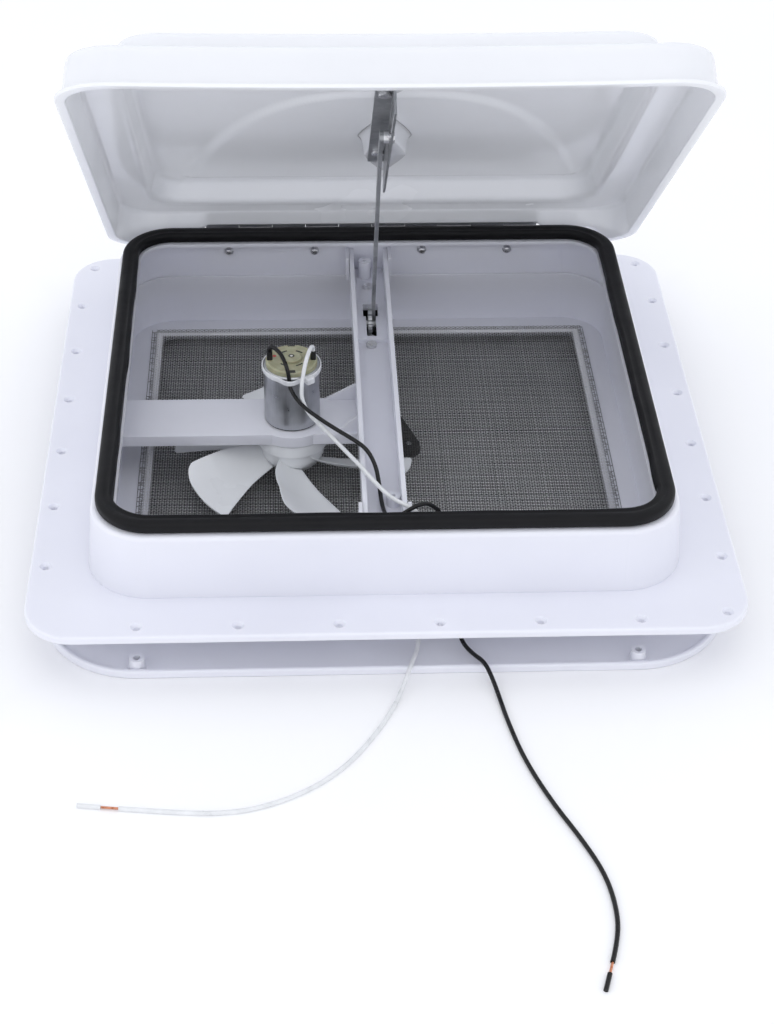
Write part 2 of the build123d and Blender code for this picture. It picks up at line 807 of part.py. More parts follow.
with BuildPart() as cable_tie:
    with BuildSketch(Plane.XY.offset(tie_z)):
        with Locations((motor_x, motor_y)):
            Circle(can_r + tie_t + running_gap)
            with PolarLocations(can_r + running_gap + 0.5 * tie_head_d, 1, start_angle=tie_head_turn):
                Rectangle(tie_head_d, tie_head_w)
            Circle(can_r + running_gap, mode=Mode.SUBTRACT)
    extrude(amount=tie_w)
cable_tie.part.label = "cable_tie"
export_step(cable_tie.part, "parts/cable_tie.step")

# Fan: drafted hub cup with a boss, and six pitched, swept blades
with BuildPart() as fan:
    with BuildSketch(motor_plane):
        with BuildLine():
            Polyline(
                (motor_shaft_r, fan_hub_top_z),
                (fan_hub_r - fan_hub_edge_r, fan_hub_top_z),
                (fan_hub_r, fan_hub_top_z - fan_hub_edge_r),
                (fan_hub_r, fan_hub_low_z),
                (fan_hub_r - wall, fan_hub_low_z),
                (fan_hub_r - wall, fan_hub_top_z - wall),
                (fan_boss_r, fan_hub_top_z - wall),
                (fan_boss_r, fan_hub_low_z),
                (motor_shaft_r, fan_hub_low_z),
                close=True,
            )
        make_face()
    revolve(axis=motor_axis)
    for blade in range(fan_blades):
        turn = math.radians(fan_start_deg + 360 / fan_blades * blade)
        pitch = math.radians(fan_pitch)
        radial = Vector(math.cos(turn), math.sin(turn), 0)
        tangent = Vector(-math.sin(turn), math.cos(turn), 0)
        normal = tangent * math.sin(pitch) + Vector(0, 0, math.cos(pitch))
        blade_plane = Plane(origin=(motor_x, motor_y, fan_mid_z), x_dir=radial, z_dir=normal)
        root_x = fan_hub_r - 0.5 * wall
        tip_x = math.sqrt(fan_r**2 - (blade_tip_half + 0.5 * blade_sweep) ** 2)
        with BuildSketch(blade_plane.offset(-0.5 * fan_blade_t)):
            with BuildLine():
                Line((root_x, -blade_root_half), (root_x, blade_root_half))
                Line((root_x, blade_root_half), (tip_x - blade_corner_r, blade_tip_half))
                ThreePointArc(
                    (tip_x - blade_corner_r, blade_tip_half),
                    (tip_x - 0.3 * blade_corner_r, blade_tip_half - 0.25 * blade_corner_r),
                    (tip_x + 0.3 * blade_corner_r, blade_tip_half - blade_corner_r),
                )
                ThreePointArc(
                    (tip_x + 0.3 * blade_corner_r, blade_tip_half - blade_corner_r),
                    (fan_r, -0.2 * blade_sweep),
                    (tip_x + 0.1 * blade_sweep, -blade_tip_half - 0.3 * blade_sweep),
                )
                ThreePointArc(
                    (tip_x + 0.1 * blade_sweep, -blade_tip_half - 0.3 * blade_sweep),
                    (0.6 * tip_x, -blade_root_half - 0.6 * blade_sweep),
                    (root_x, -blade_root_half),
                )
            make_face()
        extrude(amount=fan_blade_t)
fan.part.label = "fan"
export_step(fan.part, "parts/fan.step")

with BuildPart() as motor_shaft:
    with BuildSketch(Plane.XY.offset(fan_hub_low_z)):
        with Locations((motor_x, motor_y)):
            Circle(motor_shaft_r)
    extrude(amount=can_low_z + can_bore_depth - running_gap - fan_hub_low_z)
motor_shaft.part.label = "motor_shaft"
export_step(motor_shaft.part, "parts/motor_shaft.step")

# Lid, modelled closed: drafted skirt with a lip, raised panel, arch, bead and bracket pads
arch_points = [
    (-arch_foot_x, arch_back_y),
    (-arch_foot_x, arch_foot_y),
    (-0.87 * arch_foot_x, 0.62 * arch_foot_y),
    (-0.73 * arch_foot_x, 0.29 * arch_foot_y),
    (-0.64 * arch_foot_x, 0),
    (-0.47 * arch_foot_x, 0.68 * arch_tip_y),
    (-0.25 * arch_foot_x, arch_tip_y),
    (0.25 * arch_foot_x, arch_tip_y),
    (0.47 * arch_foot_x, 0.68 * arch_tip_y),
    (0.64 * arch_foot_x, 0),
    (0.73 * arch_foot_x, 0.29 * arch_foot_y),
    (0.87 * arch_foot_x, 0.62 * arch_foot_y),
    (arch_foot_x, arch_foot_y),
    (arch_foot_x, arch_back_y),
]


def lid_plane(height):
    """A level plane of the closed lid, centred on the shifted lid."""
    return Plane.XY.offset(height).shift_origin((lid_shift_x, 0, height))


leaf_low_z = hinge_z + barrel_r + knuckle_gap
leaf_high_z = leaf_low_z + 0.6 * lid_leaf_h
rivet_z = 0.5 * (leaf_low_z + leaf_high_z)
rivet_places = [
    (hinge_left + (2 * index + 1.5) * knuckle_pitch, rivet_z) for index in range(hinge_knuckles // 2)
]

with BuildPart() as lid_closed:
    with BuildSketch(lid_plane(lid_rim_z)):
        square(lid_rim_half, lid_corner_r)
    extrude(amount=skirt_h, taper=skirt_draft)
    fillet(lid_closed.faces().sort_by(Axis.Z)[-1].edges(), lid_edge_r)
    with BuildSketch(lid_plane(lid_rim_z)):
        square(lid_rim_half + lip_out, lid_corner_r + lip_out)
    extrude(amount=lip_t)
    with BuildSketch(lid_plane(lid_top_z)):
        square(panel_base_half, panel_corner_r)
    extrude(amount=panel_h, taper=panel_draft)
    with BuildSketch(lid_plane(panel_top_z)):
        Polygon(*arch_points, align=None)
    extrude(amount=arch_h, taper=arch_draft)
    with BuildSketch(lid_plane(lid_rim_z)):
        square(lid_rim_half - lid_t, lid_corner_r - lid_t)
    extrude(amount=skirt_h - lid_t, taper=skirt_draft, mode=Mode.SUBTRACT)
    with BuildSketch(lid_plane(lid_under_z)):
        square(panel_base_half - lid_t, panel_corner_r - lid_t)
    extrude(amount=panel_h, taper=panel_draft, mode=Mode.SUBTRACT)
    with BuildSketch(lid_plane(panel_under_z)):
        Polygon(*arch_points, align=None)
    extrude(amount=arch_h, taper=arch_draft, mode=Mode.SUBTRACT)
    # bead that presses on the sealing ring
    with BuildSketch(lid_plane(gasket_top_z + soft_gap)):
        hollow_square(bead_half, bead_corner_r, bead_w)
    extrude(amount=lid_under_z - gasket_top_z - soft_gap)
    # rear skirt: cut back round the hinge, with a flat land for the hinge leaf
    notch_top_z = hinge_z + barrel_r + notch_margin
    with BuildSketch(Plane.XZ.offset(-hinge_y - barrel_r - lip_out)):
        with BuildLine():
            Polyline(
                (lid_shift_x - notch_half_x, notch_top_z),
                (lid_shift_x - notch_half_x - notch_taper_x, lid_rim_z - overrun),
                (lid_shift_x + notch_half_x + notch_taper_x, lid_rim_z - overrun),
                (lid_shift_x + notch_half_x, notch_top_z),
                close=True,
            )
        make_face()
    extrude(amount=barrel_r + lip_out + hinge_y - bead_half, mode=Mode.SUBTRACT)
    with BuildSketch(lid_plane(notch_top_z)):
        span(-0.5 * hinge_len, 0.5 * hinge_len, hinge_y - barrel_r, hinge_y)
    extrude(amount=lid_top_z - notch_top_z - 0.5 * lid_t, mode=Mode.SUBTRACT)
    with BuildSketch(lid_plane(notch_top_z)):
        span(-0.5 * hinge_len, 0.5 * hinge_len, hinge_y - barrel_r - lid_t, hinge_y - barrel_r)
    extrude(amount=lid_under_z - notch_top_z)
    with BuildSketch(Plane.XZ.offset(-hinge_y)):
        with Locations(*rivet_places):
            Circle(rivet_r)
    extrude(amount=barrel_r + lid_t + overrun, mode=Mode.SUBTRACT)
    # diamond pads that carry the bracket
    for pad_y, pad_roof_z in ((pad_front_y, panel_under_z), (pad_back_y, panel_under_z + arch_h)):
        with BuildSketch(Plane.XY.offset(bracket_flange_top_z)):
            with Locations((0.5 * (bracket_left + bracket_right), pad_y)):
                with BuildLine():
                    FilletPolyline(
                        (0, -0.5 * pad_len),
                        (0.5 * pad_w, 0),
                        (0, 0.5 * pad_len),
                        (-0.5 * pad_w, 0),
                        radius=0.12 * pad_w,
                        close=True,
                    )
                make_face()
        extrude(amount=pad_roof_z - bracket_flange_top_z)
        with Locations((0.5 * (bracket_left + bracket_right), pad_y, bracket_flange_top_z)):
            Cylinder(bracket_screw_r, 2 * (bracket_screw_len - bracket_t), mode=Mode.SUBTRACT)
lid = opened(lid_closed.part)
lid.label = "lid"
export_step(lid, "parts/lid.step")

# Hinge leaf on the lid: a plate on the skirt's land, with the other knuckles
with BuildPart() as lid_leaf_closed:
    with BuildSketch(Plane.XY.offset(leaf_low_z)):
        span(hinge_left, hinge_left + hinge_len, leaf_face_y, leaf_face_y + leaf_t)
    extrude(amount=leaf_high_z - leaf_low_z)
    for start in knuckle_places(1):
        with BuildSketch(Plane.XY.offset(hinge_z)):
            span(start, start + knuckle_pitch - knuckle_gap, leaf_face_y, leaf_face_y + leaf_t)
        extrude(amount=leaf_high_z - hinge_z)
        with BuildSketch(Plane.YZ.offset(start)):
            with Locations((hinge_y, hinge_z)):
                Circle(barrel_r)
        extrude(amount=knuckle_pitch - knuckle_gap)
    with BuildSketch(Plane.YZ.offset(hinge_left)):
        with Locations((hinge_y, hinge_z)):
            Circle(hinge_pin_r + running_gap)
    extrude(amount=hinge_len, mode=Mode.SUBTRACT)
    with BuildSketch(Plane.XZ.offset(-hinge_y)):
        with Locations(*rivet_places):
            Circle(rivet_r)
    extrude(amount=barrel_r, mode=Mode.SUBTRACT)
hinge_lid_leaf = opened(lid_leaf_closed.part)
hinge_lid_leaf.label = "hinge_lid_leaf"
export_step(hinge_lid_leaf, "parts/hinge_lid_leaf.step")

# Rivets: each through the leaf and the skirt's land, with its head on the leaf
with BuildPart() as rivets_closed:
    with BuildSketch(Plane.XZ.offset(-leaf_face_y - leaf_t)):
        with Locations(*rivet_places):
            Circle(rivet_head_r)
    extrude(amount=-rivet_head_t)
    with BuildSketch(Plane.XZ.offset(-leaf_face_y - leaf_t)):
        with Locations(*rivet_places):
            Circle(rivet_r)
    extrude(amount=leaf_t + lid_t)
hinge_rivets = opened(rivets_closed.part)
hinge_rivets.label = "hinge_rivets"
export_step(hinge_rivets, "parts/hinge_rivets.step")

with BuildPart() as hinge_pin:
    with BuildSketch(Plane.YZ.offset(hinge_left)):
        with Locations((hinge_y, hinge_z)):
            Circle(hinge_pin_r)
    extrude(amount=hinge_len)
hinge_pin.part.label = "hinge_pin"
export_step(hinge_pin.part, "parts/hinge_pin.step")

# Lid bracket: an angle with its flange on the pads, and the arm's slot in its web
bracket_flange_low_z = bracket_flange_top_z - bracket_t
slot_mid_z = lid_rim_z + lid_pin_h - 0.5 * (slot_error_low - slot_error_high)
slot_w = 2 * (pin_r + 0.5 * (slot_error_low + slot_error_high) + slide_gap)
with BuildPart() as bracket_closed:
    with BuildSketch(Plane.XY.offset(bracket_flange_low_z)):
        span(bracket_left, bracket_right, bracket_front_y, bracket_back_y)
    extrude(amount=bracket_t)
    with BuildSketch(Plane.YZ.offset(bracket_right - bracket_t)):
        with BuildLine():
            Polyline(
                (bracket_front_y, bracket_flange_top_z),
                (bracket_front_y, bracket_flange_top_z - bracket_web_h),
                (bracket_back_y, bracket_flange_top_z - bracket_web_h),
                (bracket_tip_y, bracket_flange_top_z - bracket_web_h + bracket_t),
                (bracket_back_y, bracket_flange_top_z),
                close=True,
            )
        make_face()
    extrude(amount=bracket_t)
    with BuildSketch(Plane.YZ.offset(bracket_right - bracket_t)):
        bar((-slot_far, slot_mid_z), (-slot_near, slot_mid_z), slot_w)
    extrude(amount=bracket_t, mode=Mode.SUBTRACT)
    with BuildSketch(Plane.XY.offset(bracket_flange_low_z)):
        with Locations(*[(0.5 * (bracket_left + bracket_right), pad_y) for pad_y in (pad_front_y, pad_back_y)]):
            Circle(bracket_screw_r + running_gap)
    extrude(amount=bracket_t, mode=Mode.SUBTRACT)
lid_bracket = opened(bracket_closed.part)
lid_bracket.label = "lid_bracket"
export_step(lid_bracket, "parts/lid_bracket.step")

with BuildPart() as bracket_screws_closed:
    for pad_y in (pad_front_y, pad_back_y):
        with BuildSketch(Plane.XY.offset(bracket_flange_low_z)):
            with Locations((0.5 * (bracket_left + bracket_right), pad_y)):
                Circle(bracket_screw_head_r)
        extrude(amount=-bracket_screw_head_t)
        with BuildSketch(Plane.XY.offset(bracket_flange_low_z)):
            with Locations((0.5 * (bracket_left + bracket_right), pad_y)):
                Circle(bracket_screw_r)
        extrude(amount=bracket_screw_len)
bracket_screws = opened(bracket_screws_closed.part)
bracket_screws.label = "bracket_screws"
export_step(bracket_screws, "parts/bracket_screws.step")

# Lift arm: a cranked flat bar from its hub to the slider pin
rise = math.radians(arm_rise)
arm_plane = Plane(
    origin=(arm_x + arm_t, pivot_y, pivot_z),
    x_dir=(0, -math.cos(rise), math.sin(rise)),
    z_dir=(-1, 0, 0),
)
with BuildPart() as lift_arm:
    with BuildSketch(arm_plane):
        bend_near = (arm_jog, arm_offset)
        bend_far = (arm_len - arm_jog, arm_offset)
        bar((0, 0), bend_near, arm_w)
        bar(bend_near, bend_far, arm_w)
        bar(bend_far, (arm_len, 0), arm_w)
        Circle(arm_hub_r)
        Circle(axle_r + running_gap, mode=Mode.SUBTRACT)
        with Locations((arm_len, 0)):
            Circle(pin_r, mode=Mode.SUBTRACT)
    extrude(amount=arm_t)
lift_arm.part.label = "lift_arm"
export_step(lift_arm.part, "parts/lift_arm.step")

# Sector gear on the arm, with its teeth towards the worm over the arm's travel
tooth_pitch = 360 / gear_teeth
root_r = gear_r - gear_tooth_h
first_tooth = -arm_rise - 1.2 * tooth_pitch
with BuildPart() as sector_gear:
    with BuildSketch(arm_plane.offset(arm_t)):
        Circle(gear_hub_r)
        with BuildLine():
            arc_start = math.radians(first_tooth - 0.5 * tooth_pitch)
            arc_end = math.radians(first_tooth + (gear_count - 0.5) * tooth_pitch)
            arc_mid = 0.5 * (arc_start + arc_end)
            Line((0, 0), (root_r * math.cos(arc_start), root_r * math.sin(arc_start)))
            ThreePointArc(
                (root_r * math.cos(arc_start), root_r * math.sin(arc_start)),
                (root_r * math.cos(arc_mid), root_r * math.sin(arc_mid)),
                (root_r * math.cos(arc_end), root_r * math.sin(arc_end)),
            )
            Line((root_r * math.cos(arc_end), root_r * math.sin(arc_end)), (0, 0))
        make_face()
        for tooth in range(gear_count):
            angle = first_tooth + tooth * tooth_pitch
            with BuildLine():
                outline = []
                for radius_share, half_share in ((-0.1, 0.30), (-0.1, -0.30), (1.0, -0.14), (1.0, 0.14)):
                    radius = root_r + radius_share * gear_tooth_h
                    place = math.radians(angle + half_share * tooth_pitch)
                    outline.append((radius * math.cos(place), radius * math.sin(place)))
                Polyline(*outline, close=True)
            make_face()
        Circle(axle_r + running_gap, mode=Mode.SUBTRACT)
    extrude(amount=gear_t)
sector_gear.part.label = "sector_gear"
export_step(sector_gear.part, "parts/sector_gear.step")

# Slider pin: from the arm through the bracket slot, with a shoulder and a head
with BuildPart() as slider_pin:
    with BuildSketch(Plane.YZ.offset(arm_x)):
        with Locations((arm_pin_y, arm_pin_z)):
            Circle(pin_r)
    extrude(amount=bracket_right + slide_gap - arm_x)
    with BuildSketch(Plane.YZ.offset(arm_x + arm_t)):
        with Locations((arm_pin_y, arm_pin_z)):
            Circle(pin_head_r)
    extrude(amount=bracket_right - bracket_t - slide_gap - arm_x - arm_t)
    with BuildSketch(Plane.YZ.offset(bracket_right + slide_gap)):
        with Locations((arm_pin_y, arm_pin_z)):
            Circle(pin_head_r)
    extrude(amount=pin_head_t)
slider_pin.part.label = "slider_pin"
export_step(slider_pin.part, "parts/slider_pin.step")

# Worm and crank shaft in one piece
crank_top_z = ledge_top_z - wall - crank_under
crank_low_z = crank_top_z - crank_t
worm_top_z = floor_low_z - slide_gap
with BuildPart() as worm_shaft:
    worm_pitch = 2 * math.pi * gear_r / gear_teeth
    with BuildSketch(Plane(origin=(drive_x, worm_y, 0), x_dir=(1, 0, 0), z_dir=(0, -1, 0))):
        with BuildLine():
            outline = [(0, crank_low_z), (crank_shaft_r, crank_low_z), (crank_shaft_r, worm_top_z - worm_h)]
            low = worm_top_z - worm_h
            while low + worm_pitch < worm_top_z:
                outline.append((worm_root_r, low))
                outline.append((worm_root_r, low + 0.25 * worm_pitch))
                outline.append((worm_r, low + 0.42 * worm_pitch))
                outline.append((worm_r, low + 0.58 * worm_pitch))
                outline.append((worm_root_r, low + 0.75 * worm_pitch))
                low = low + worm_pitch
            outline.append((worm_root_r, worm_top_z))
            outline.append((0, worm_top_z))
            Polyline(*outline, close=True)
        make_face()
    revolve(axis=Axis((drive_x, worm_y, 0), (0, 0, 1)))
worm_shaft.part.label = "worm_shaft"
export_step(worm_shaft.part, "parts/worm_shaft.step")

# Crank handle under the screen, its knob pin and the knob
crank_turn = math.radians(crank_turn_deg)
knob_x = drive_x + crank_len * math.cos(crank_turn)
knob_y = worm_y + crank_len * math.sin(crank_turn)
with BuildPart() as crank_handle:
    with BuildSketch(Plane.XY.offset(crank_low_z)):
        bar((drive_x, worm_y), (knob_x, knob_y), crank_w)
        with Locations((drive_x, worm_y)):
            Circle(crank_hub_r)
            Circle(crank_shaft_r, mode=Mode.SUBTRACT)
        with Locations((knob_x, knob_y)):
            Circle(knob_pin_r, mode=Mode.SUBTRACT)
    extrude(amount=crank_t)
crank_handle.part.label = "crank_handle"
export_step(crank_handle.part, "parts/crank_handle.step")

knob_top_z = crank_low_z - running_gap
with BuildPart() as knob_pin:
    with BuildSketch(Plane.XY.offset(crank_top_z)):
        with Locations((knob_x, knob_y)):
            Circle(knob_pin_r)
    extrude(amount=-crank_t - running_gap - knob_h)
    with BuildSketch(Plane.XY.offset(knob_top_z - knob_h + knob_pin_head_t)):
        with Locations((knob_x, knob_y)):
            Circle(knob_pin_head_r)
    extrude(amount=-knob_pin_head_t)
knob_pin.part.label = "knob_pin"
export_step(knob_pin.part, "parts/knob_pin.step")

with BuildPart() as crank_knob:
    with BuildSketch(Plane.XY.offset(knob_top_z)):
        with Locations((knob_x, knob_y)):
            Circle(knob_r)
    extrude(amount=-knob_h)
    fillet(crank_knob.faces().sort_by(Axis.Z)[0].edges(), 0.3 * knob_h)
    with BuildSketch(Plane.XY.offset(knob_top_z)):
        with Locations((knob_x, knob_y)):
            Circle(knob_pin_r + running_gap)
    extrude(amount=-knob_h, mode=Mode.SUBTRACT)
    with BuildSketch(Plane.XY.offset(knob_top_z - knob_h)):
        with Locations((knob_x, knob_y)):
            Circle(knob_pin_head_r + running_gap)
    extrude(amount=knob_pin_head_t + running_gap, mode=Mode.SUBTRACT)
crank_knob.part.label = "crank_knob"
export_step(crank_knob.part, "parts/crank_knob.step")

# Motor leads: from the sleeves over the can and the bridge, out through the collar's notch,
# over the trim frame's rim and across the table
lead_low_z = lead_table_z
black_points = [
    (motor_x - terminal_reach, motor_y, sleeve_top_z + wall),
    (motor_x - terminal_reach, motor_y, 107.2),
    (-69.8, -11.4, 109.0),
    (-65.0, -17.4, 107.4),
    (-61.8, -25.4, 102.6),
    (-60.4, -31.4, 93.6),
    (-58.8, -34.8, 86.0),
    (-52.2, -43.2, 82.6),
    (-41.0, -55.8, 82.0),
    (-30.0, -66.8, 80.8),
    (-18.6, -77.4, 79.8),
    (-10.0, -84.2, 77.0),
    (-4.4, -91.6, 69.0),
    (-2.4, -101.4, 61.2),
    (-1.8, -113.4, 58.4),
    (-0.6, -127.0, 58.8),
    (1.8, -140.8, 62.6),
    (5.6, -151.8, 71.6),
    (11.4, -157.4, 80.6),
    (19.4, -154.6, 84.4),
    (27.4, -148.0, 80.4),
    (35.0, -145.4, 70.4),
    (41.0, -149.0, 57.4),
    (44.8, -156.8, 44.4),
    (46.0, -166.0, 32.4),
    (45.4, -176.6, 23.0),
    (44.6, -186.6, 14.4),
    (46.4, -196.8, 7.4),
    (52.8, -208.6, 7.4),
    (59.2, -218.0, 9.2),
    (63.2, -228.8, 6.0),
    (66.8, -242.3, 1.6),
    (69.8, -262.3, lead_low_z),
    (77.1, -296.8, lead_low_z),
    (89.7, -332.0, lead_low_z),
    (103.7, -361.9, lead_low_z),
    (113.8, -388.7, lead_low_z),
    (116.9, -412.5, lead_low_z),
    (115.6, -433.6, lead_low_z),
    (109.8, -451.8, lead_low_z),
]
white_points = [
    (motor_x + terminal_reach, motor_y, sleeve_top_z + wall),
    (motor_x + terminal_reach, motor_y, 107.2),
    (-45.8, -12.6, 109.0),
    (-48.2, -20.2, 106.6),
    (-50.4, -27.0, 100.4),
    (-52.0, -32.4, 91.8),
    (-52.0, -35.6, 83.0),
    (-47.6, -41.2, 75.6),
    (-40.0, -52.6, 74.2),
    (-31.6, -69.0, 75.0),
    (-22.8, -88.4, 76.8),
    (-13.2, -108.0, 78.2),
    (-4.0, -124.4, 76.6),
    (4.0, -136.8, 76.2),
    (12.4, -146.4, 78.0),
    (20.2, -150.4, 75.0),
    (24.4, -154.8, 65.2),
    (23.8, -161.2, 52.4),
    (21.6, -167.6, 39.6),
    (20.2, -174.2, 27.4),
    (19.6, -182.6, 17.2),
    (19.8, -192.2, 8.2),
    (18.0, -203.6, 6.2),
    (14.4, -216.6, 9.2),
    (10.0, -229.0, 6.4),
    (3.6, -245.6, 1.8),
    (-10.5, -273.5, lead_low_z),
    (-30.7, -302.3, lead_low_z),
    (-55.3, -322.0, lead_low_z),
    (-81.6, -333.2, lead_low_z),
    (-104.2, -336.4, lead_low_z),
    (-133.0, -334.2, lead_low_z),
    (-161.0, -330.6, lead_low_z),
]


def bend_radii(points):
    """The largest radius that the two runs beside each corner allow."""
    radii = []
    for before, here, after in zip(points, points[1:], points[2:]):
        run_in = Vector(*here) - Vector(*before)
        run_out = Vector(*after) - Vector(*here)
        shorter = min(run_in.length, run_out.length)
        turn = math.radians(run_in.get_angle(run_out))
        radii.append(0.45 * shorter / math.tan(0.5 * turn))
    return radii


def lead_length(points, radii):
    """The length of the rounded route."""
    total = 0
    for start, end in zip(points, points[1:]):
        total = total + (Vector(*end) - Vector(*start)).length
    for before, here, after, radius in zip(points, points[1:], points[2:], radii):
        turn = math.radians((Vector(*here) - Vector(*before)).get_angle(Vector(*after) - Vector(*here)))
        total = total - 2 * radius * math.tan(0.5 * turn) + radius * turn
    return total


def tail(points, start_at, length):
    """The start and direction of a straight stretch past the end of a lead."""
    end = Vector(*points[-1])
    run = (end - Vector(*points[-2])).normalized()
    return Plane(origin=end + run * start_at, z_dir=run), length


for name, points, core_len, slug_len in (
    ("black", black_points, 8.0, 11.8),
    ("white", white_points, 10.5, 13.9),
):
    radii = bend_radii(points)
    with BuildPart() as lead:
        with BuildLine() as route:
            FilletPolyline(*points, radius=radii)
        with BuildSketch(Plane(origin=route.line @ 0, z_dir=route.line % 0)):
            Circle(lead_r)
        sweep()
    lead.part.label = name + "_lead"
    export_step(lead.part, "parts/" + name + "_lead.step")
    print(name, "radii", [round(radius, 1) for radius in radii])
    expected = math.pi * lead_r**2 * lead_length(points, radii)
    print(name, "length", round(lead_length(points, radii), 1), "volume", round(lead.part.volume / expected, 4))
    core_plane, core_run = tail(points, 0, core_len)
    with BuildPart() as core:
        with BuildSketch(core_plane):
            Circle(core_r)
        extrude(amount=core_run)
    core.part.label = name + "_lead_core"
    export_step(core.part, "parts/" + name + "_lead_core.step")
    slug_plane, slug_run = tail(points, core_len, slug_len)
    with BuildPart() as slug:
        with BuildSketch(slug_plane):
            Circle(lead_r)
        extrude(amount=slug_run)
    slug.part.label = name + "_lead_slug"
    export_step(slug.part, "parts/" + name + "_lead_slug.step")
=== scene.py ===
import json
import math
import bpy
import numpy as np
from mathutils import Matrix, Vector


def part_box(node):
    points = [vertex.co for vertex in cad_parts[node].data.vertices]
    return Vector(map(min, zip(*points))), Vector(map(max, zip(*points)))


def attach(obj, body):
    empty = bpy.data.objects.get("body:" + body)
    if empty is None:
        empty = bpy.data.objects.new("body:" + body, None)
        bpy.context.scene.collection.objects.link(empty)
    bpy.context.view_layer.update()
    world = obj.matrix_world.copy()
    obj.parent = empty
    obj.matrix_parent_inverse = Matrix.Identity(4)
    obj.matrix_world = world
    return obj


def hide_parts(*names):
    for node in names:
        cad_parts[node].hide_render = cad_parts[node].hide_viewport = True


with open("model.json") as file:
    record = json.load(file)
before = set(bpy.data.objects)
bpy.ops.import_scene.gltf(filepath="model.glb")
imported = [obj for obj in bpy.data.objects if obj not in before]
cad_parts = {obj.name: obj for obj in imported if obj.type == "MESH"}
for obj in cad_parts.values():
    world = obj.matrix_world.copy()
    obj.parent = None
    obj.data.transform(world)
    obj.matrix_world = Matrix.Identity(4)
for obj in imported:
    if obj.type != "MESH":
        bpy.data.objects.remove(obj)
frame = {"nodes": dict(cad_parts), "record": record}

# Caravan roof vent: the camera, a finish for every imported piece, and the pieces that are worked out here:
# two motor leads, lid, fan, cable tie, hinge fixings, sealing ring and woven screen

scene = bpy.context.scene
nodes = frame["nodes"]
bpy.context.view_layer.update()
print("frame loaded,", len(nodes), "pieces")

# Camera: place in metres, compass turn, tilt down and roll in degrees, lens for a 36 mm film side
cameraLook = {
    "place": (-0.05342, -1.17008, 0.86096),
    "turn": 3.02,
    "tilt": 37.56,
    "roll": 1.03,
    "lens": 72.18,
    "film": 36.0,
    "far": 50,
}


def buildCamera(look):
    # forward from turn and tilt, then right and up rolled about it, as the columns of the camera's matrix
    turn, tilt, roll = (math.radians(look[key]) for key in ("turn", "tilt", "roll"))
    forward = Vector((math.sin(turn) * math.cos(tilt), math.cos(turn) * math.cos(tilt), -math.sin(tilt)))
    right = Vector((math.cos(turn), -math.sin(turn), 0))
    up = right.cross(forward)
    sideways = math.cos(roll) * right + math.sin(roll) * up
    upwards = math.cos(roll) * up - math.sin(roll) * right
    turned = Matrix((sideways, upwards, -forward)).transposed().to_4x4()
    turned.translation = Vector(look["place"])
    data = bpy.data.cameras.new("photoCamera")
    data.lens = look["lens"]
    data.sensor_width = look["film"]
    data.sensor_fit = "AUTO"
    data.clip_end = look["far"]
    camera = bpy.data.objects.new("photoCamera", data)
    camera.matrix_world = turned
    scene.collection.objects.link(camera)
    scene.camera = camera


buildCamera(cameraLook)
print("camera placed")


class Tree:
    # a short way to add shader nodes and link them
    def __init__(self, name):
        self.material = bpy.data.materials.new(name)
        self.material.use_nodes = True
        self.tree = self.material.node_tree
        self.tree.nodes.clear()
        self.shader = self.add("ShaderNodeBsdfPrincipled")
        out = self.add("ShaderNodeOutputMaterial")
        self.link(self.shader.outputs["BSDF"], out.inputs["Surface"])
        self.where = self.add("ShaderNodeTexCoord").outputs["Object"]

    def add(self, kind, **values):
        node = self.tree.nodes.new(kind)
        for key, value in values.items():
            setattr(node, key, value)
        return node

    def link(self, a, b):
        self.tree.links.new(a, b)

    def feed(self, socket, value):
        # a colour, a number or another node's output
        if isinstance(value, tuple):
            socket.default_value = (*value, 1)
        elif isinstance(value, (int, float)):
            socket.default_value = value
        else:
            self.link(value, socket)

    def math(self, operation, *values):
        node = self.add("ShaderNodeMath", operation=operation)
        for socket, value in zip(node.inputs, values):
            self.feed(socket, value)
        return node.outputs[0]

    def noise(self, scale, detail, stretch=None):
        coords = self.where
        if stretch:
            mapping = self.add("ShaderNodeMapping")
            mapping.inputs["Scale"].default_value = stretch
            self.link(coords, mapping.inputs["Vector"])
            coords = mapping.outputs["Vector"]
        node = self.add("ShaderNodeTexNoise")
        node.inputs["Scale"].default_value = scale
        node.inputs["Detail"].default_value = detail
        self.link(coords, node.inputs["Vector"])
        return node.outputs[0]

    def blend(self, factor, first, second):
        node = self.add("ShaderNodeMix", data_type="RGBA")
        for socket, value in ((node.inputs[0], factor), (node.inputs[6], first), (node.inputs[7], second)):
            self.feed(socket, value)
        return node.outputs[2]

    def span(self, value, low, high, fromLow=0.3, fromHigh=0.7):
        # a value between two marks carried over to a range; noise mostly lies between 0.3 and 0.7
        node = self.add("ShaderNodeMapRange")
        node.inputs["From Min"].default_value = fromLow
        node.inputs["From Max"].default_value = fromHigh
        node.inputs["To Min"].default_value = low
        node.inputs["To Max"].default_value = high
        self.link(value, node.inputs["Value"])
        return node.outputs["Result"]

    def bump(self, height, strength, distance, before=None):
        node = self.add("ShaderNodeBump")
        node.inputs["Strength"].default_value = strength
        node.inputs["Distance"].default_value = distance
        self.link(height, node.inputs["Height"])
        if before:
            self.link(before, node.inputs["Normal"])
        return node.outputs["Normal"]

    def parts(self, vector):
        split = self.add("ShaderNodeSeparateXYZ")
        self.link(vector, split.inputs[0])
        return split.outputs

    def awayFromMiddle(self):
        # the larger of |x| and |y|
        x, y = self.parts(self.where)[:2]
        return self.math("MAXIMUM", self.math("ABSOLUTE", x), self.math("ABSOLUTE", y))

    def set(self, **values):
        for key, value in values.items():
            self.shader.inputs[key.replace("_", " ")].default_value = value


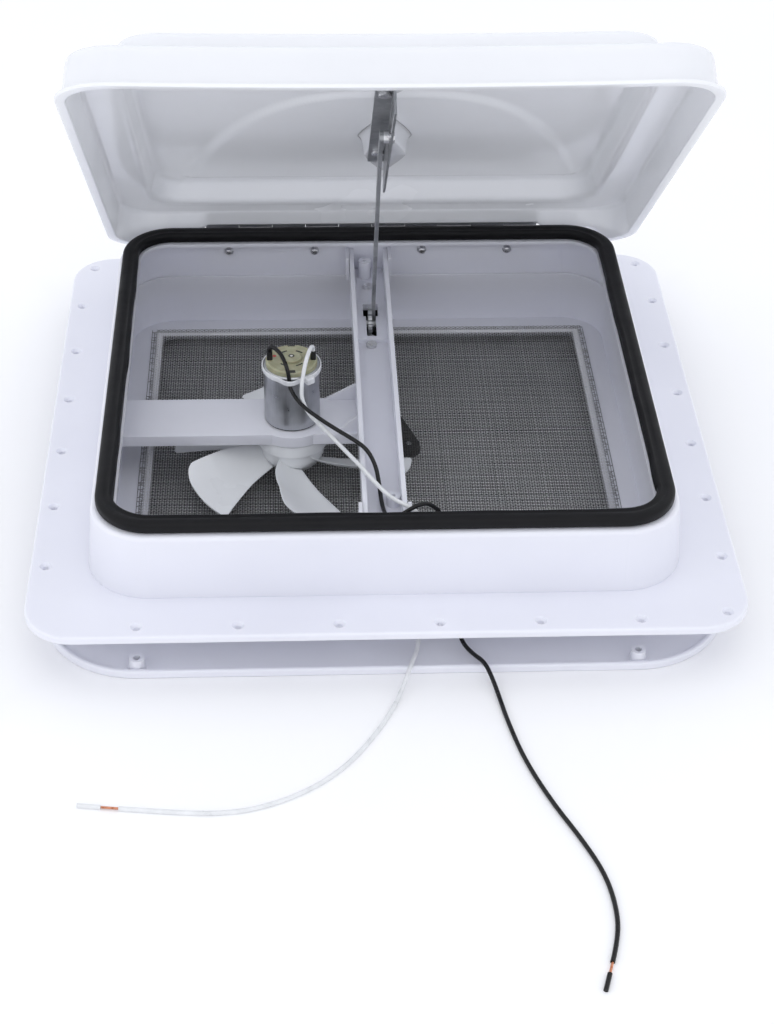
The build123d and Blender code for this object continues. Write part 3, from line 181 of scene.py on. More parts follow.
# What a finish has unless its own lines say otherwise; bump heights and depth of glow in metres
plainFinish = {
    "mottleDetail": 4,
    "grainDetail": 2,
    "stretch": None,
    "wave": 0.1,
    "waveHigh": 0.0006,
    "grainHigh": 0.0004,
    "metal": 0.0,
    "ior": 1.46,
    "coat": 0.0,
    "coatDull": 0.1,
    "glow": 0.0,
    "deep": 0.002,
}


def buildFinish(name, look):
    # colour between two shades by a soft mottle, gloss by the same, bump from a slow wave and a fine grain
    look = {**plainFinish, **look}
    tree = Tree(name)
    mottle = tree.noise(look["mottle"], look["mottleDetail"], look["stretch"])
    grain = tree.noise(look["grain"], look["grainDetail"], look["stretch"])
    shade = tree.blend(tree.span(mottle, 0.0, 1.0), look["dark"], look["light"])
    if "cells" in look:
        # zinc flowers: each cell of the pattern has its own grey
        cells = tree.add("ShaderNodeTexVoronoi")
        cells.inputs["Scale"].default_value = look["cells"]
        tree.link(tree.where, cells.inputs["Vector"])
        grey = tree.add("ShaderNodeSeparateColor")
        tree.link(cells.outputs["Color"], grey.inputs[0])
        share = tree.math("MULTIPLY", grey.outputs[0], look["cellShare"])
        shade = tree.blend(share, shade, look["cellColor"])
    if "paintedEdgeLight" in look:
        # painted light: a pale band along the cut edges, standing in for the lit ledge seen through the
        # screen and for glints on the bent ends, with a fainter one outside it
        away, start = tree.awayFromMiddle(), look["paintedEdgeLightFrom"]
        (fade, riseEnd), (fallen, fallStart, fallEnd) = look["paintedEdgeLightRise"], look["paintedEdgeLightFall"]
        rise = tree.span(away, 0, fade, start, start + riseEnd)
        fall = tree.span(away, 0, fallen, start + fallStart, start + fallEnd)
        shade = tree.blend(tree.math("SUBTRACT", rise, fall), shade, look["paintedEdgeLight"])
    tree.link(shade, tree.shader.inputs["Base Color"])
    tree.link(tree.span(mottle, look["glossy"], look["dull"]), tree.shader.inputs["Roughness"])
    wave = tree.bump(mottle, look["wave"], look["waveHigh"])
    tree.link(tree.bump(grain, look["bump"], look["grainHigh"], wave), tree.shader.inputs["Normal"])
    tree.set(Metallic=look["metal"], IOR=look["ior"])
    if look["coat"]:
        tree.set(Coat_Weight=look["coat"], Coat_Roughness=look["coatDull"])
    if look["glow"]:
        tree.set(Subsurface_Weight=look["glow"], Subsurface_Scale=look["deep"], Subsurface_Radius=(1, 1, 1))
    return tree


# Finishes: two shades, roughness at its glossiest and dullest, scales of the mottle and the grain
finishes = {
    "shellWhite": {"dark": (0.76, 0.765, 0.83), "light": (0.80, 0.805, 0.87), "glossy": 0.28, "dull": 0.36,
                   "mottle": 9, "grain": 700, "bump": 0.05, "wave": 0.06,
                   "coat": 0.25, "coatDull": 0.12, "glow": 0.45, "deep": 0.005},
    "lidWhite": {"dark": (0.80, 0.81, 0.84), "light": (0.84, 0.85, 0.88), "glossy": 0.20, "dull": 0.28,
                 "mottle": 7, "grain": 600, "bump": 0.04,
                 "coat": 0.35, "coatDull": 0.08, "glow": 0.6, "deep": 0.008},
    "fanWhite": {"dark": (0.87, 0.885, 0.90), "light": (0.91, 0.925, 0.94), "glossy": 0.26, "dull": 0.36,
                 "mottle": 30, "grain": 900, "bump": 0.05, "wave": 0.2, "coat": 0.2},
    "gasketBlack": {"dark": (0.002, 0.002, 0.003), "light": (0.006, 0.006, 0.007),
                    "glossy": 0.42, "dull": 0.6, "mottle": 60, "grain": 1500, "bump": 0.25,
                    "wave": 0.3, "ior": 1.3},
    "hingeSteel": {"dark": (0.36, 0.36, 0.38), "light": (0.46, 0.46, 0.48), "glossy": 0.38, "dull": 0.5,
                   "mottle": 60, "grain": 900, "stretch": (0.1, 1, 1), "bump": 0.15, "metal": 0.8},
    "screwSteel": {"dark": (0.58, 0.58, 0.59), "light": (0.78, 0.78, 0.79), "glossy": 0.22, "dull": 0.36,
                   "mottle": 150, "grain": 2000, "bump": 0.1, "metal": 1.0},
    "housingBlack": {"dark": (0.012, 0.012, 0.013), "light": (0.030, 0.030, 0.031),
                     "glossy": 0.34, "dull": 0.5, "mottle": 80, "grain": 1800, "bump": 0.3},
    "bushBrass": {"dark": (0.55, 0.40, 0.20), "light": (0.78, 0.62, 0.36), "glossy": 0.25, "dull": 0.4,
                  "mottle": 200, "grain": 2500, "bump": 0.1, "metal": 1.0},
    "sleeveBlack": {"dark": (0.008, 0.008, 0.008), "light": (0.018, 0.018, 0.018),
                    "glossy": 0.3, "dull": 0.45, "mottle": 200, "grain": 2500, "bump": 0.15},
    "tieNylon": {"dark": (0.72, 0.73, 0.76), "light": (0.84, 0.85, 0.87), "glossy": 0.22, "dull": 0.34,
                 "mottle": 160, "grain": 1800, "bump": 0.12, "glow": 0.2},
    "screenGrey": {"dark": (0.045, 0.045, 0.045), "light": (0.13, 0.13, 0.13), "glossy": 0.34, "dull": 0.5,
                   "mottle": 45, "grain": 2500, "bump": 0.05, "metal": 0.85,
                   # painted light: the pale band along the screen's edges, where the lit ledge shows through
                   "paintedEdgeLight": (0.80, 0.80, 0.81), "paintedEdgeLightFrom": 0.1555,
                   "paintedEdgeLightRise": (0.9, 0.002), "paintedEdgeLightFall": (0.65, 0.0045, 0.0065)},
    "leadBlack": {"dark": (0.003, 0.003, 0.003), "light": (0.008, 0.008, 0.008), "glossy": 0.24, "dull": 0.36,
                  "mottle": 120, "grain": 2200, "bump": 0.12, "ior": 1.4},
    "leadWhite": {"dark": (0.72, 0.73, 0.74), "light": (0.84, 0.85, 0.86), "glossy": 0.26, "dull": 0.38,
                  "mottle": 120, "grain": 2200, "bump": 0.12},
    "coreCopper": {"dark": (0.55, 0.22, 0.12), "light": (0.80, 0.40, 0.26), "glossy": 0.24, "dull": 0.36,
                   "mottle": 400, "grain": 3000, "bump": 0.1, "metal": 1.0},
    "galvanised": {"dark": (0.30, 0.31, 0.32), "light": (0.42, 0.43, 0.44), "glossy": 0.34, "dull": 0.5,
                   "mottle": 40, "grain": 1200, "bump": 0.15, "metal": 0.85,
                   "cells": 160, "cellShare": 0.5, "cellColor": (0.56, 0.57, 0.58)},
}
made = {name: buildFinish(name, look) for name, look in finishes.items()}

motorAxis = (-0.0585, -0.007)

# Motor can: drawn steel, with painted shade over its foot and a painted dark patch on each side; places in
# metres
canLook = {
    "dark": (0.34, 0.35, 0.37),
    "light": (0.50, 0.51, 0.53),
    "streakColor": (0.62, 0.63, 0.65),
    "streak": 900,
    "streakDetail": 3,
    "streakStretch": (1, 1, 0.04),
    "streakShare": 0.25,
    "streakBump": 0.08,
    "streakHigh": 0.0003,
    "patch": 70,
    "patchDetail": 4,
    "shadow": (0.02, 0.02, 0.022),
    # painted shade: the foot below footTop, and a patch on each side at the height and size below
    "footTop": 0.0512,
    "sideShadeAt": 0.0826,
    "sideShadeHalfHigh": 0.0021,
    "sideShadeHalfWide": 0.0026,
    "glossy": 0.26,
    "dull": 0.42,
    "metal": 0.92,
}

# End cap: arcs are (radius, half width, angle, half angle) in metres and radians, circles a radius
capLook = {
    "dark": (0.31, 0.305, 0.19),
    "light": (0.45, 0.44, 0.30),
    "mottle": 160,
    "mottleDetail": 4,
    "vents": (0.0096, 0.0007, 0.98, 0.27),
    "notches": (0.0158, 0.0012, 1.571, 0.16),
    "shadow": (0.03, 0.032, 0.025),
    "ring": (0.0072, 0.0006),
    "ringColor": (0.2, 0.2, 0.12),
    "ringShare": 0.35,
    "hole": 0.0021,
    "pinRadius": 0.0010,
    "pin": (0.78, 0.78, 0.76),
    "spot": (0.55, 0.06, 0.05),
    "spotPlace": (-0.0700, -0.0040, 0.0975),
    "spotRadius": 0.0013,
    "glossy": 0.35,
    "dull": 0.5,
    "sunk": 0.6,
    "sunkDeep": -0.0008,
    "grain": 0.15,
    "grainHigh": 0.0003,
    "glow": 0.15,
    "deep": 0.002,
}


def motorPlace(tree):
    # x and y from the motor's axis, and z
    moved = tree.add("ShaderNodeVectorMath", operation="SUBTRACT")
    moved.inputs[1].default_value = (*motorAxis, 0)
    tree.link(tree.where, moved.inputs[0])
    return tree.parts(moved.outputs[0])


def buildCan(look):
    # streaks along the can over soft patches, then painted shade over the foot and over a patch on each side
    tree = Tree("motorSteel")
    y, z = motorPlace(tree)[1:]
    streak = tree.noise(look["streak"], look["streakDetail"], look["streakStretch"])
    patch = tree.noise(look["patch"], look["patchDetail"])
    shade = tree.blend(tree.span(patch, 0, 1), look["dark"], look["light"])
    shade = tree.blend(tree.span(streak, 0.0, look["streakShare"]), shade, look["streakColor"])
    # painted shade: the foot of the can and a patch on each side take the shadow colour
    foot = tree.math("LESS_THAN", z, look["footTop"])
    sideShade = tree.math("MULTIPLY", tree.math("COMPARE", z, look["sideShadeAt"], look["sideShadeHalfHigh"]),
                       tree.math("COMPARE", y, 0.0, look["sideShadeHalfWide"]))
    shade = tree.blend(tree.math("MAXIMUM", foot, sideShade), shade, look["shadow"])
    tree.link(shade, tree.shader.inputs["Base Color"])
    tree.link(tree.span(patch, look["glossy"], look["dull"]), tree.shader.inputs["Roughness"])
    tree.link(tree.bump(streak, look["streakBump"], look["streakHigh"]), tree.shader.inputs["Normal"])
    tree.set(Metallic=look["metal"])
    return tree


def buildCap(look):
    # four curved vents about the middle, a notch at the rim in front and behind, the end of the shaft in
    # its hole, and a small red spot
    tree = Tree("capNylon")
    x, y = motorPlace(tree)[:2]
    wide, deep = tree.math("ABSOLUTE", x), tree.math("ABSOLUTE", y)
    radius = tree.math("SQRT", tree.math("ADD", tree.math("MULTIPLY", x, x), tree.math("MULTIPLY", y, y)))
    angle = tree.math("ARCTAN2", deep, wide)

    def arc(at, half, middle, halfAngle):
        return tree.math("MULTIPLY", tree.math("COMPARE", radius, at, half),
                         tree.math("COMPARE", angle, middle, halfAngle))

    dark = tree.math("MAXIMUM", arc(*look["vents"]), arc(*look["notches"]))
    ring = tree.math("COMPARE", radius, *look["ring"])
    mottle = tree.noise(look["mottle"], look["mottleDetail"])
    shade = tree.blend(tree.span(mottle, 0, 1), look["dark"], look["light"])
    shade = tree.blend(tree.math("MULTIPLY", ring, look["ringShare"]), shade, look["ringColor"])
    shade = tree.blend(dark, shade, look["shadow"])
    shade = tree.blend(tree.math("LESS_THAN", radius, look["hole"]), shade, look["shadow"])
    shade = tree.blend(tree.math("LESS_THAN", radius, look["pinRadius"]), shade, look["pin"])
    toSpot = tree.add("ShaderNodeVectorMath", operation="DISTANCE")
    toSpot.inputs[1].default_value = look["spotPlace"]
    tree.link(tree.where, toSpot.inputs[0])
    near = tree.math("LESS_THAN", toSpot.outputs["Value"], look["spotRadius"])
    shade = tree.blend(near, shade, look["spot"])
    tree.link(shade, tree.shader.inputs["Base Color"])
    tree.link(tree.span(mottle, look["glossy"], look["dull"]), tree.shader.inputs["Roughness"])
    grain = tree.bump(mottle, look["grain"], look["grainHigh"])
    tree.link(tree.bump(dark, look["sunk"], look["sunkDeep"], grain), tree.shader.inputs["Normal"])
    tree.set(Subsurface_Weight=look["glow"], Subsurface_Scale=look["deep"])
    return tree


made["motorSteel"] = buildCan(canLook)
made["capNylon"] = buildCap(capLook)

finishOf = {
    "shell_white": "shellWhite", "lid_white": "lidWhite", "gasket_black": "gasketBlack",
    "hinge_steel": "hingeSteel", "screw_steel": "screwSteel", "housing_black": "housingBlack",
    "motor_steel": "motorSteel", "bush_brass": "bushBrass", "cap_nylon": "capNylon",
    "sleeve_black": "sleeveBlack", "tie_nylon": "tieNylon", "screen_grey": "screenGrey",
    "lead_black": "leadBlack", "lead_white": "leadWhite", "core_copper": "coreCopper",
    "galvanised": "galvanised", "fan_white": "fanWhite",
}
for part in frame["record"]["subparts"]:
    piece = nodes[part["node"]]
    piece.data.materials.clear()
    piece.data.materials.append(made[finishOf[part["material_slot"]]].material)
print("finishes set,", len(made))


def finishPiece(piece, body, slotName, *replaced):
    piece.data.materials.append(made[finishOf[slotName]].material)
    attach(piece, body)
    if replaced:
        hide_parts(*replaced)
    return piece


def meshPiece(name, points, faces, shadeSmooth=True):
    mesh = bpy.data.meshes.new(name)
    mesh.from_pydata(points.reshape(-1, 3).tolist(), [], faces)
    mesh.polygons.foreach_set("use_smooth", np.full(len(mesh.polygons), shadeSmooth))
    mesh.update()
    piece = bpy.data.objects.new(name, mesh)
    scene.collection.objects.link(piece)
    return piece


# Leads: the same route points as the CAD tubes, in millimetres, from the motor to the table;
# all other lengths in metres
leadLook = {
    "diameter": 0.0028,
    "sectionSteps": 5,
    "routeSteps": 8,
    "black": [(-73.2, -7, 103.5), (-73.2, -7, 107.2), (-69.8, -11.4, 109), (-65, -17.4, 107.4),
              (-61.4, -26.6, 102.6), (-60.2, -27.9, 94.8), (-59.7, -29.0, 87), (-52.8, -40.6, 82.4),
              (-41, -55.8, 82), (-30, -66.8, 80.8), (-18.6, -77.4, 79.8), (-10, -84.2, 77),
              (-4.4, -91.6, 69), (-2.4, -101.4, 61.2), (-1.8, -113.4, 58.4), (-0.6, -127, 58.8),
              (1.8, -140.8, 62.6), (5.6, -151.8, 71.6), (11.4, -157.4, 80.6), (19.4, -154.6, 84.4),
              (27.4, -148, 80.4), (35, -145.4, 70.4), (41, -149, 57.4), (44.8, -156.8, 44.4),
              (46, -166, 32.4), (45.4, -176.6, 23), (44.6, -186.6, 14.4), (46.4, -196.8, 7.4),
              (52.8, -208.6, 7.4), (59.2, -218, 9.2), (63.2, -228.8, 6), (66.8, -242.3, 1.6),
              (69.8, -262.3, 1.45), (77.1, -296.8, 1.45), (89.7, -332, 1.45), (103.7, -361.9, 1.45),
              (113.8, -388.7, 1.45), (116.9, -412.5, 1.45), (115.6, -433.6, 1.45),
              (109.8, -451.8, 1.45)],
    "white": [(-43.8, -7, 103.5), (-43.8, -7, 107.2), (-45.8, -12.6, 109), (-48.2, -20.2, 106.6),
              (-50.4, -27, 100.4), (-52, -32.4, 91.8), (-52, -35.6, 83), (-47.6, -41.2, 75.6),
              (-40, -52.6, 74.2), (-31.6, -69, 75), (-22.8, -88.4, 76.8), (-13.2, -108, 78.2),
              (-4, -124.4, 76.6), (4, -136.8, 76.2), (12.4, -146.4, 78), (20.2, -150.4, 75),
              (24.4, -154.8, 65.2), (23.8, -161.2, 52.4), (21.6, -167.6, 39.6), (20.2, -174.2, 27.4),
              (19.6, -182.6, 17.2), (19.8, -192.2, 8.2), (18, -203.6, 6.2), (14.4, -216.6, 9.2),
              (10, -229, 6.4), (3.6, -245.6, 1.8), (-10.5, -273.5, 1.45), (-30.7, -302.3, 1.45),
              (-55.3, -322, 1.45), (-81.6, -333.2, 1.45), (-104.2, -336.4, 1.45), (-133, -334.2, 1.45),
              (-161, -330.6, 1.45)],
    "blackLength": 0.593,
    "whiteLength": 0.5296,
    "blackCore": 0.0080,
    "whiteCore": 0.0105,
    "strands": 7,
    "strandRadius": 0.00027,
    "strandReach": 1.9,
    "strandTurns": 1.6,
    "strandSteps": 25,
    "strandSides": 8,
}


def buildLead(name, points, look, slotName, replaced):
    # a smooth spline pulled by its points, with a round section
    curve = bpy.data.curves.new(name, "CURVE")
    curve.dimensions = "3D"
    curve.bevel_depth = 0.5 * look["diameter"]
    curve.bevel_resolution = look["sectionSteps"]
    curve.use_fill_caps = True
    curve.resolution_u = look["routeSteps"]
    spline = curve.splines.new("NURBS")
    spline.points.add(len(points) - 1)
    flat = np.ones((len(points), 4))
    flat[:, :3] = np.array(points) / 1000
    spline.points.foreach_set("co", flat.ravel())
    spline.order_u = 3
    spline.use_endpoint_u = True
    piece = bpy.data.objects.new(name, curve)
    scene.collection.objects.link(piece)
    return finishPiece(piece, "base_body", slotName, replaced)


def buildStrands(name, points, length, look, replaced):
    # one straight wire and the others on a helix about it; point(u, v) = axis at u, plus the wire's
    # place at angle turns * u, plus its own small circle at v
    start, before = np.array(points[-1]) / 1000, np.array(points[-2]) / 1000
    along = (start - before) / np.linalg.norm(start - before)
    side = np.cross(along, (0, 0, 1))
    up = np.cross(side, along)
    count, steps, sides = look["strands"], look["strandSteps"], look["strandSides"]
    u = np.linspace(0, 1, steps)[None, :, None]
    v = np.linspace(0, 2 * np.pi, sides, endpoint=False)[None, None, :]
    wire = np.arange(count)[:, None, None]
    reach = np.where(wire == 0, 0.0, look["strandReach"] * look["strandRadius"])
    swing = 2 * wire * np.pi / (count - 1) + 2 * np.pi * look["strandTurns"] * u
    a = reach * np.cos(swing) + look["strandRadius"] * np.cos(v)
    b = reach * np.sin(swing) + look["strandRadius"] * np.sin(v)
    far = u * length * np.ones_like(a)
    grid = start + far[..., None] * along + a[..., None] * side + b[..., None] * up
    index = np.arange(count * steps * sides).reshape(count, steps, sides)
    nextV = np.roll(index, -1, axis=2)
    quads = np.stack([index[:, :-1], index[:, 1:], nextV[:, 1:], nextV[:, :-1]], -1).reshape(-1, 4).tolist()
    caps = index[:, 0].tolist() + index[:, -1, ::-1].tolist()
    return finishPiece(meshPiece(name, grid, quads + caps), "base_body", "core_copper", replaced)


blackLead = buildLead("blackLead", leadLook["black"], leadLook, "lead_black", "black_lead")
whiteLead = buildLead("whiteLead", leadLook["white"], leadLook, "lead_white", "white_lead")
blackStrands = buildStrands("blackStrands", leadLook["black"], leadLook["blackCore"], leadLook,
                            "black_lead_core")
whiteStrands = buildStrands("whiteStrands", leadLook["white"], leadLook["whiteCore"], leadLook,
                            "white_lead_core")
print("leads laid")


def squareLine(half, corner, count):
    # point and outward normal at equal steps along a rounded square, counter-clockwise
    straight, bend = 2 * (half - corner), 0.5 * math.pi * corner
    s = np.linspace(0, 4 * (straight + bend), count, endpoint=False)
    side, along = np.divmod(s, straight + bend)
    turn = np.clip((along - straight) / corner, 0, None)
    x = np.full_like(s, half - corner) + corner * np.cos(turn)
    y = np.minimum(along, straight) - 0.5 * straight + corner * np.sin(turn)
    base = 0.5 * math.pi * side
    cos, sin = np.cos(base), np.sin(base)
    point = np.stack([x * cos - y * sin, x * sin + y * cos], -1)
    normal = np.stack([np.cos(turn + base), np.sin(turn + base)], -1)
    return point, normal, s


def roundedLine(points, trims, steps=7):
    # a broken line whose inner corners are rounded: corner P with trim t becomes the curve
    # (1-s)^2 A + 2s(1-s) P + s^2 B between the points A and B at t before and after it
    points = np.array(points, float)
    ahead = np.diff(points, axis=0)
    ahead /= np.linalg.norm(ahead, axis=1)[:, None]
    corner, trim = points[1:-1], np.array(trims, float)[:, None]
    a, b = corner - ahead[:-1] * trim, corner + ahead[1:] * trim
    s = np.linspace(0, 1, steps)[None, :, None]
    arcs = (1 - s) ** 2 * a[:, None] + 2 * s * (1 - s) * corner[:, None] + s ** 2 * b[:, None]
    return np.concatenate([points[:1], arcs.reshape(-1, 2), points[-1:]])


def smooth(value):
    # 0 to 1 with a level start and end
    value = np.clip(value, 0, 1)
    return value * value * (3 - 2 * value)


def power(value, exponent):
    # keeps the sign; on a cosine and a sine it squares up the circle that they draw
    return np.sign(value) * np.abs(value) ** exponent


def ringFaces(rows, around, start=0):
    # quads between rings that close on themselves, and a fan to a single point before the first
    # ring and after the last
    index = start + 1 + np.arange(rows * around).reshape(rows, around)
    nextV = np.roll(index, -1, 1)
    quads = np.stack([index[:-1], nextV[:-1], nextV[1:], index[1:]], -1).reshape(-1, 4).tolist()
    first = np.stack([np.full(around, start), nextV[0], index[0]], -1).tolist()
    last = np.stack([np.full(around, start + 1 + rows * around), index[-1], nextV[-1]], -1).tolist()
    return quads + first + last


def loopFaces(rows, around):
    # quads of a closed section carried round a closed path
    index = np.arange(rows * around).reshape(rows, around)
    nextU, nextV = np.roll(index, -1, 0), np.roll(index, -1, 1)
    return np.stack([index, nextU, np.roll(nextU, -1, 1), nextV], -1).reshape(-1, 4).tolist()


# Lid, worked out closed and then turned open about the hinge; millimetres and degrees. Lines are (out, up)
lidLook = {
    "middle": 3.0,
    "hinge": (193.0, 88.0),
    "open": 43.6,
    "outer": [(150, 115.6), (161.0, 115.6), (165.2, 98.4), (189.69, 98.4), (192.24, 73.7),
              (196, 73.7), (196, 71.2)],
    "outerTrims": [5.0, 4.5, 5.0, 0.9, 0.7, 0.7],
    "inner": [(189.8, 71.2), (187.1, 95.7), (163.0, 95.7), (158.6, 112.9), (150, 112.9)],
    "innerTrims": [0.8, 3.5, 4.5, 4.5],
    "cornerAt": [0, 158, 165, 186, 196],
    "corner": [0, 23, 25, 27.5, 34.5],
    "around": 440,
    "flatRings": 60,
    "flatFrom": 2.5,
    "thick": 2.7,
    "rim": 71.2,
    "wallTop": 95.7,
    "wallHigh": 24.5,
    # rear wall: where it starts, its foot over the hinge and beside it, and its face, which steps out
    # at the corners
    "rearFrom": 172,
    "rearSoft": 8,
    "rearCut": 86.0,
    "hingeHalf": 125.4,
    "hingeSoft": 2.5,
    "sideCut": 82.5,
    "rearHalf": 165.0,
    "rearTaper": 15.0,
    "rearFace": 189.9,
    "faceStep": 9,
    "stepFrom": 148,
    "stepSoft": 20,
    # sunk field of the top, behind a bow
    "roofFrom": 105,
    "archMiddle": 9.0,
    "archTip": -48.0,
    "archDrop": 180.5,
    "archHalf": 138.8,
    "archBack": 148.5,
    "archBackBand": 6,
    "archBand": 7.5,
    "archRise": -2.4,
    # sag of the front
    "sag": 2.6,
    "sagFrom": -60,
    "sagLong": 130,
    "sagHalf": 192.5,
    # bracket pads: middle x and y, half width and half length; then the steps from face to roof
    "pads": [(7.2, 40.0, 14.3, 40.0), (7.6, -122.0, 13.5, 28.0)],
    "padFace": 96.62,
    "padRoof": 113.0,
    "padRound": 1.6,
    "padAround": 120,
    "padInner": -0.6,
    "padShares": [0, 0, 0.03, 0.08, 0.3, 0.5, 0.7, 0.86, 0.95, 1, 1],
    "padGrow": [-0.9, -0.25, 0, 0.4, 0.8, 1.4, 2.2, 3.2, 4.4],
}


def archHeight(look, x, y):
    # the sunk field behind a bow: full where y is past tip + drop |x / half|^3 and before the back edge
    across = (x - look["archMiddle"]) / look["archHalf"]
    bow = look["archTip"] + look["archDrop"] * np.abs(across) ** 3
    slope = 3 * look["archDrop"] / look["archHalf"] * across ** 2
    past = smooth(0.5 + (y - bow) / np.sqrt(1 + slope ** 2) / look["archBand"])
    return look["archRise"] * past * smooth(0.5 + (look["archBack"] - y) / look["archBackBand"])


def sagAt(look, x, y):
    # the front hangs a little at its middle: a smooth step forwards times 1 - (x / half)^2
    across = np.clip(np.abs(x - look["middle"]) / look["sagHalf"], 0, 1)
    return look["sag"] * smooth((look["sagFrom"] - y) / look["sagLong"]) * (1 - across ** 2)


def padRings(look, padX, padY, wide, long):
    # a rounded diamond |x/a|^1.25 + |y/b|^1.25 = 1 at each height, flaring into the roof of the lid
    turn = np.linspace(0, 2 * np.pi, look["padAround"], endpoint=False)
    unit = np.stack([power(np.cos(turn), look["padRound"]), power(np.sin(turn), look["padRound"])], -1)
    share = np.array(look["padShares"])[:, None]
    inner = wide * look["padInner"]
    grow = np.array([inner, *look["padGrow"], inner])[:, None]
    x, y = padX + (wide + grow) * unit[:, 0], padY + (long + grow) * unit[:, 1]
    wall = look["padRoof"] + archHeight(look, x, y) - sagAt(look, x, y)
    ring = np.stack([x, y, look["padFace"] + share * (wall - look["padFace"])], -1)
    tips = np.array([[padX, padY, look["padFace"]], [padX, padY, wall[-1].mean()]])
    return ring[:, ::-1], tips


def buildLid(look):
    # a profile of one wall, from the middle of its top over the rim to the middle of its underside,
    # carried round a rounded square; then the rear wall is raised over the hinge, the field sunk and
    # the front let sag
    outer = roundedLine(look["outer"] + look["inner"][:1], look["outerTrims"])
    inner = roundedLine(look["outer"][-1:] + look["inner"], look["innerTrims"])
    flat = np.linspace(look["flatFrom"], look["outer"][0][0], look["flatRings"])
    top, under = look["outer"][0][1], look["inner"][-1][1]
    profile = np.concatenate([np.stack([flat, np.full_like(flat, top)], -1), outer[1:-1], inner[1:-1],
                              np.stack([flat[::-1], np.full_like(flat, under)], -1)])
    corner = np.interp(profile[:, 0], look["cornerAt"], look["corner"])
    rings = [squareLine(half, turn, look["around"])[0] for half, turn in zip(profile[:, 0], corner)]
    x, y = np.moveaxis(np.array(rings), -1, 0)
    x, y = (x + look["middle"])[:, ::-1], -y[:, ::-1]
    z = profile[:, 1][:, None] + 0 * x
    isInner = (np.arange(len(profile)) >= len(flat) + len(outer) - 2)[:, None]
    aside = np.abs(x - look["middle"])
    beside = smooth((aside - look["hingeHalf"]) / look["hingeSoft"])
    cut = look["rearCut"] + (look["sideCut"] - look["rearCut"]) * beside
    cut = cut + (look["rim"] - look["sideCut"]) * smooth((aside - look["rearHalf"]) / look["rearTaper"])
    rear = smooth((y - look["rearFrom"]) / look["rearSoft"])
    z = z + rear * (cut - look["rim"]) * np.clip((look["wallTop"] - z) / look["wallHigh"], 0, 1)
    step = look["faceStep"] * smooth((aside - look["stepFrom"]) / look["stepSoft"])
    face = look["rearFace"] + step - look["thick"] * isInner
    y = np.where(rear > 0, np.minimum(y, face), y)
    z = z + np.where(z > look["roofFrom"], archHeight(look, x, y), 0)
    z = z - sagAt(look, x, y)
    grid = np.stack([x, y, z], -1).reshape(-1, 3)
    ends = np.array([[look["middle"], 0, h + look["archRise"]] for h in (top, under)])
    points, faces = [ends[:1], grid, ends[1:]], ringFaces(*x.shape)
    count = len(grid) + 2
    for pad in look["pads"]:
        ring, tips = padRings(look, *pad)
        points += [tips[:1], ring.reshape(-1, 3), tips[1:]]
        faces += ringFaces(*ring.shape[:2], count)
        count += ring.shape[0] * ring.shape[1] + 2
    points, faces = np.concatenate(points), [face[::-1] for face in faces]
    # open: turned about the hinge line
    cos, sin = math.cos(math.radians(look["open"])), math.sin(math.radians(look["open"]))
    hingeY, hingeZ = look["hinge"]
    dy, dz = points[:, 1] - hingeY, points[:, 2] - hingeZ
    opened = np.stack([points[:, 0], hingeY + dy * cos + dz * sin, hingeZ - dy * sin + dz * cos], -1)
    return finishPiece(meshPiece("lidShell", opened / 1000, faces), "lid_body", "lid_white", "lid")


# Fan: hub line (radius, height), and each blade's leading and trailing edges by radius;
# millimetres and degrees
fanLook = {
    "axis": (-58.5, -7.0),
    "hub": [(21.5, 41.0), (24.8, 40.4), (24.8, 31.4), (22.3, 30.6), (21.9, 22.0), (17.0, 14.5), (15.0, 14.5),
            (19.6, 23.0), (20.4, 38.4), (5.0, 38.4), (5.0, 16.0), (3.0, 16.0)],
    "hubTrims": [0.5, 0.6, 0.5, 3.5, 0.7, 0.7, 2.5, 1.4, 0.8, 0.5],
    "hubSteps": 5,
    "around": 120,
    "blades": 6,
    "root": 20.0,
    "tip": 83.0,
    "byRadius": [20, 46, 60, 75, 82],
    "leading": [-176, -165, -159, -155.5, -154.5],
    "trailing": [-132, -128.5, -126, -124, -123],
    "leadingHigh": [27, 32, 34, 34.5, 34],
    "trailingLow": [18, 17.5, 17, 16.5, 16.5],
    "curl": 1.9,
    "thick": 1.8,
    "thinEdge": 0.02,
    "sidePower": 6,
    "endPower": 24,
    "cornerShare": 0.30,
    "corner": 8.5,
    "backShare": 0.08,
    "backCorner": 3.0,
    "steps": (44, 30),
}


